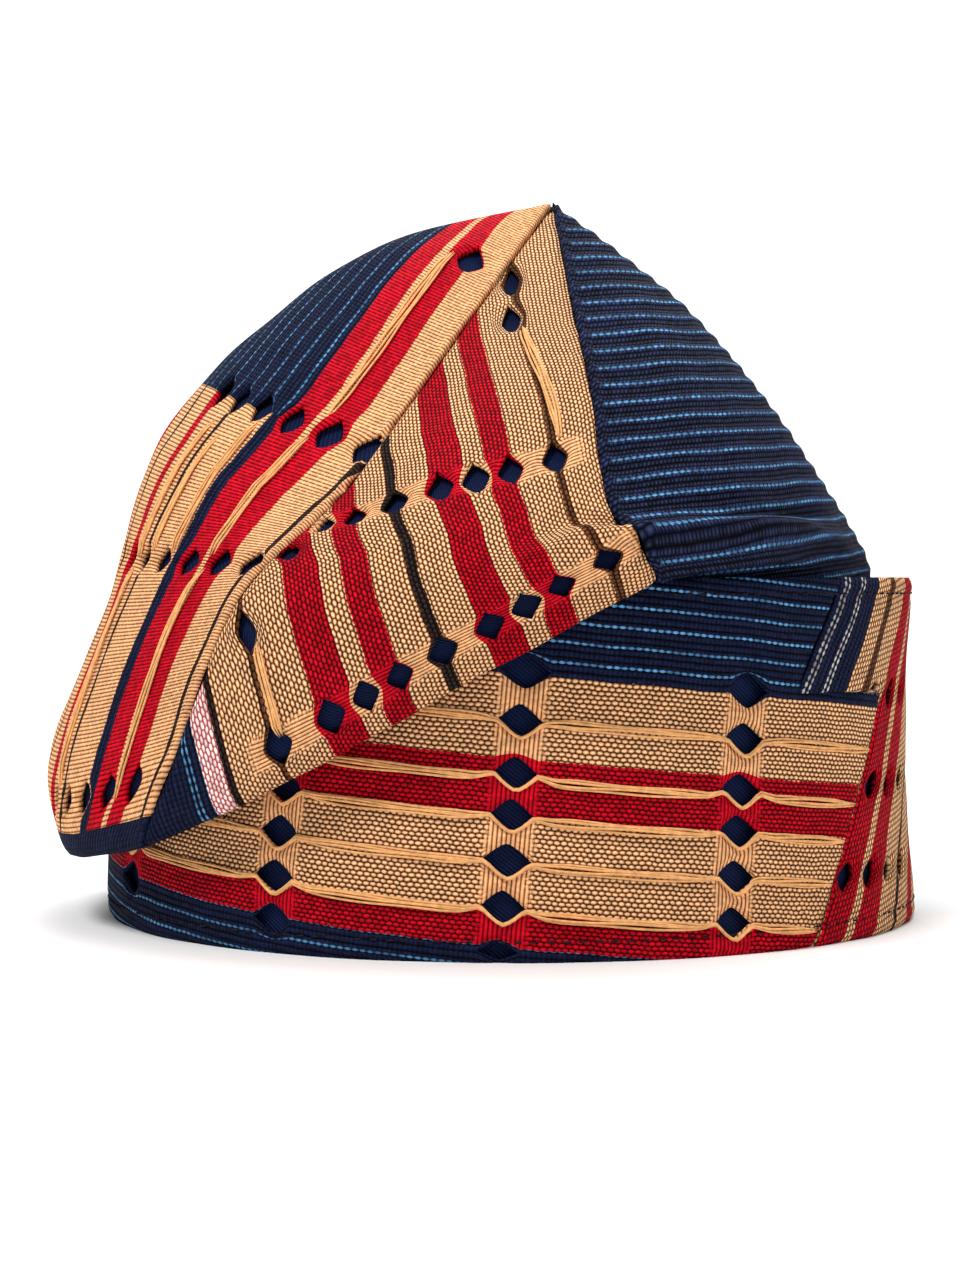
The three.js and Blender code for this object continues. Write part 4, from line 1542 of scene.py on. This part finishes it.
@dataclass
class Studio:
    """A pale seamless floor and soft light, with the camera level with the band's rim."""

    distance: float = 614.0
    pixel: float = 0.2375
    horizon: float = 580.0
    centre_px: float = 512.0
    frame_px: tuple[int, int] = (960, 1280)
    eye_height: float = 77.9
    sensor: float = 36.0
    floor_depth: float = 0.7
    floor_bend: float = 0.6
    surround: float = 0.45
    aim: tuple[float, float, float] = (0.0, 0.0, 0.08)
    lamps: Sequence[Lamp] = (
        Lamp("key", (-0.4, -0.55, 0.95), 8.5, 0.3),
        Lamp("fill", (0.8, -0.7, 0.5), 2.2, 0.5),
        Lamp("top", (0.1, 0.15, 1.1), 6.0, 0.7),
        Lamp("back", (0.1, 0.9, 1.0), 8.0, 0.9),
    )

    def make_camera(self) -> None:
        """The camera, aimed a little below the rim."""
        data = bpy.data.cameras.new("camera")
        camera = bpy.data.objects.new("camera", data)
        bpy.context.scene.collection.objects.link(camera)
        aim_x = CENTRE[0] + (self.frame_px[0] / 2 - self.centre_px) * self.pixel
        tilt = math.atan((self.frame_px[1] / 2 - self.horizon) * self.pixel / self.distance)
        camera.location = (aim_x * MM, (CENTRE[1] - self.distance) * MM, self.eye_height * MM)
        camera.rotation_euler = (math.pi / 2 - tilt, 0.0, 0.0)
        data.sensor_fit = "VERTICAL"
        data.sensor_width = self.sensor
        data.sensor_height = self.sensor
        data.lens = self.sensor * self.distance / (self.frame_px[1] * self.pixel)
        bpy.context.scene.camera = camera

    def make_floor(self) -> None:
        """A pale floor that curves up behind the cap."""
        bm = bmesh.new()
        bmesh.ops.create_grid(bm, x_segments=2, y_segments=48, size=2.0)
        near, bend, quarter = self.floor_depth, self.floor_bend, math.pi / 2
        for vert in bm.verts:
            over = max(0.0, vert.co.y - near)
            turn = min(over / bend, quarter)
            vert.co.y = min(vert.co.y, near) + bend * math.sin(turn)
            vert.co.z = bend * (1.0 - math.cos(turn)) + max(0.0, over - bend * quarter) * 3.0
            vert.co.x *= 2.0
        n = Nodes("pale_floor")
        tone = n.linear(n.noise(3.0), 0.9, 0.02)
        floor = object_of("floor", bm, n.finish(n.grey(tone), 0.9))

    def make_light(self) -> None:
        """A key light from the upper left, a fill at the right, two above and behind, a pale surround."""
        world = bpy.data.worlds.new("surround")
        world.use_nodes = True
        background = world.node_tree.nodes["Background"]
        background.inputs[0].default_value = WHITE
        background.inputs[1].default_value = self.surround
        bpy.context.scene.world = world
        bpy.context.scene.view_settings.view_transform = "Standard"
        for lamp in self.lamps:
            data = bpy.data.lights.new(lamp.name, "AREA")
            data.energy = lamp.power
            data.size = lamp.size
            item = bpy.data.objects.new(lamp.name, data)
            item.location = lamp.place
            x, y, z = np.array(self.aim) - np.array(lamp.place)
            item.rotation_euler = (math.atan2(math.hypot(x, y), -z), 0.0, math.atan2(y, x) - math.pi / 2)
            bpy.context.scene.collection.objects.link(item)


BAND_FRONT_CLOTH = StripedCloth(
    "band_front_striped_cloth",
    stripe_row((-30, NAVY), (2.6, RED), (9.8, TAN), (29.8, RED), (41.6, TAN), (58.7, NAVY)),
    low=-30.0, high=100.0, ribs=tuple(RibRow(place) for place in (49.2, -0.3, -49.8, -99.3, -148.8)),
    rib_reach=4.6, dash_from=1.0,
)
BAND_SIDE_CLOTH = StripedCloth(
    "band_side_striped_cloth",
    stripe_row(
        (-60, NAVY), (13.5, TAN), (19.5, BROWN), (22.5, TAN), (29.5, RED), (36.5, TAN), (39.5, RED),
        (47.5, TAN), (56, BLACK), (57.5, TAN), (66, RED), (72, TAN), (80, NAVY), (132, TAN), (140, BROWN),
        (142, TAN), (149, RED), (155, TAN), (158, RED), (165, TAN), (173, BLACK), (175, TAN), (183, RED),
        (189, TAN), (197, NAVY),
    ),
    low=-60.0, high=320.0, ribs=(), dash=Yarn.PALE, dash_step=5.5, dash_from=-0.75, dash_to=10.2,
    dash_pair=1.2,
)
CROWN_FRONT_CLOTH = StripedCloth(
    "crown_front_striped_cloth",
    stripe_row(
        (-15, TAN), (5.5, BROWN), (7.1, TAN), (16.2, RED), (22.5, TAN), (27.2, RED), (35.1, TAN),
        (43.1, BLACK), (45.4, TAN), (53.3, RED), (59.4, TAN), (64.3, RED), (72.7, TAN), (83.1, BROWN),
        (84.7, TAN), (95.5, BLACK), (97.2, CHECK), (102.7, NAVY),
    ),
    low=-15.0, high=140.0, ribs=(), dash_from=104.4, dash_to=109.0, dash_pair=1.3,
)
CROWN_LEFT_CLOTH = StripedCloth(
    "crown_left_striped_cloth",
    stripe_row(
        (0, TAN), (1.6, BLACK), (3.2, TAN), (12.3, RED), (18, TAN), (20.5, RED), (27.5, NAVY), (32, TAN),
        (45, BLACK), (46.5, TAN), (56, RED), (60, TAN), (70, BLACK), (71.5, TAN), (80, RED), (86, TAN),
        (96, NAVY), (118, TAN), (126, RED), (134, TAN),
    ),
    low=0.0, high=200.0, ribs=(), dash_step=5.4, rib_share=0.78, navy_below=5.5, navy_beyond=27.5,
)
CROWN_BACK_CLOTH = StripedCloth(
    "crown_back_striped_cloth",
    stripe_row(
        (0, NAVY), (6, RED), (12, TAN), (22, BROWN), (24, TAN), (34, RED), (41, TAN), (47, RED), (54, TAN),
        (64, BLACK), (66, TAN), (76, RED), (83, TAN), (89, RED), (96, TAN), (106, NAVY), (150, TAN),
        (158, RED), (166, TAN),
    ),
    low=0.0, high=240.0, ribs=(),
)


def crown_panels(shape: CrownShape) -> tuple[CrownPanel, ...]:
    """The crown's front, left, right and back panels with their gaps."""
    inner = (6.6, 17.2, 25.2, 33.4, 44.1, 54.0, 62.0)
    return (
        CrownPanel(
            shape, "crown_front", "left_front", "front_right", -1, Layout.STRIPES,
            (
                GapRow(7.1, (*inner, 70.6, 83.9), -0.045), GapRow(8.55, inner, 0.02), GapRow(8.4, (70.6,)),
                GapRow(7.75, (83.9,), 0.0, 4.2, 2.5), GapRow(9.82, (8.8,), 0.0, 8.0, 2.6),
                GapRow(10.2, (7.6,), 0.0, 7.0, 2.3),
            ),
            (
                StripeDrift(6.0, 1.0, 1.9), StripeDrift(6.4, 1.0, 1.4), StripeDrift(7.0, 1.0, 0.0),
                StripeDrift(7.6, 0.96, 1.5, 1.7), StripeDrift(8.2, 0.92, 2.9, 2.2),
                StripeDrift(8.58, 0.925, 3.7, 0.5), StripeDrift(9.2, 0.944, 4.6),
                StripeDrift(9.6, 0.9, 6.0), StripeDrift(10.0, 0.93, 5.8),
            ),
            lip=-0.9, far_lip=-1.0, pucker=Pucker(), seed=1.0,
        ),
        CrownPanel(
            shape, "crown_left", "back_left", "left_front", -1, Layout.STRIPES,
            (
                GapRow(6.8, (13.0, 23.5, 34.0, 44.5, 55.0), 0.0, 3.8),
                GapRow(8.3, (5.0, 15.5, 26.0, 36.5, 47.0, 57.5, 68.0)),
                GapRow(9.25, (5.0, 15.5, 26.0, 36.5, 47.0, 57.5)), GapRow(10.3, (13.0,)),
            ),
            (StripeDrift(8.9, 1.0, 0.0), StripeDrift(9.4, 1.0, -4.5), StripeDrift(11.0, 1.0, -4.5)),
            lip=0.7, lip_reach=3.0, seed=5.0,
        ),
        CrownPanel(
            shape, "crown_right", "front_right", "right_back", 1, Layout.FAN,
            lip=0.8, lip_reach=3.0, seed=7.0,
        ),
        CrownPanel(
            shape, "crown_back", "right_back", "back_left", 1, Layout.STRIPES,
            (GapRow(8.5, (12.0, 23.0, 34.0, 45.0, 56.0, 67.0)),), seed=9.0,
        ),
    )


@dataclass(frozen=True)
class Cut:
    """A piece of cloth before it was sewn: the rectangle that it is cut from and its own area, in metres."""

    width: float
    length: float
    area: float


def set_piece(piece: Piece, node: str, slot: str, fringe: Sequence[Piece]) -> None:
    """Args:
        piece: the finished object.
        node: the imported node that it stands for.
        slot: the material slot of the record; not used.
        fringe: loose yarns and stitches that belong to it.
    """
    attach(piece, "root")
    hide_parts(node)
    list(fringe)
    log.info("%s: %d faces", piece.name, len(piece.data.polygons))


def main() -> None:
    """Builds the cap piece by piece, then the studio."""
    logging.basicConfig(level=logging.INFO, format="%(message)s")
    for item in list(bpy.data.objects):
        if item.type in {"LIGHT", "CAMERA"}:
            bpy.data.objects.remove(item)
    band_shape = BandShape()
    crown_shape = CrownShape(band_shape)
    studio = Studio()
    studio.make_camera()
    studio.make_floor()
    studio.make_light()

    band = Band(band_shape)
    lining = LiningTwill().make()
    float_yarn = SmoothYarn("float_yarn", srgb(226, 168, 110)).make()
    thread = SmoothYarn("stitch_thread", srgb(38, 30, 34)).make()
    panels = crown_panels(crown_shape)
    finishes = (
        replace(CROWN_FRONT_CLOTH, ribs=panels[0].rib_rows()),
        replace(CROWN_LEFT_CLOTH, ribs=panels[1].rib_rows(), navy_above=panels[1].height_of(9.25)),
        RibbedNavy(),
        replace(CROWN_BACK_CLOTH, ribs=panels[3].rib_rows()),
    )

    fringe = {
        "band_front_panel": [BandFloats(band).make(float_yarn)],
        "band_side_panel": [HemStitches(band).make(thread)],
        "crown_left_panel": [CrownFloats(panels).make(float_yarn)],
    }
    for pieces in fringe.values():
        for piece in pieces:
            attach(piece, "root")
            log.info("%s: %d faces", piece.name, len(piece.data.polygons))

    cloths = [
        (band.make_front(BAND_FRONT_CLOTH.make()), "band_front_panel", "striped_cloth"),
        (band.make_side(BAND_SIDE_CLOTH.make()), "band_side_panel", "striped_cloth"),
        (band.make_lining(lining), "band_lining", "lining_cloth"),
        (CrownLining(crown_shape).make(lining), "crown_lining", "lining_cloth"),
    ]
    nodes = (
        ("crown_front_panel", "striped_cloth"), ("crown_left_panel", "striped_cloth"),
        ("crown_right_panel", "navy_cloth"), ("crown_back_panel", "striped_cloth"),
    )
    for panel, finish, (node, slot) in zip(panels, finishes, nodes):
        cloths.append((panel.make(finish.make()), node, slot))
    for piece, node, slot in cloths:
        set_piece(piece, node, slot, fringe.get(node, []))


if __name__ == "__main__":
    main()
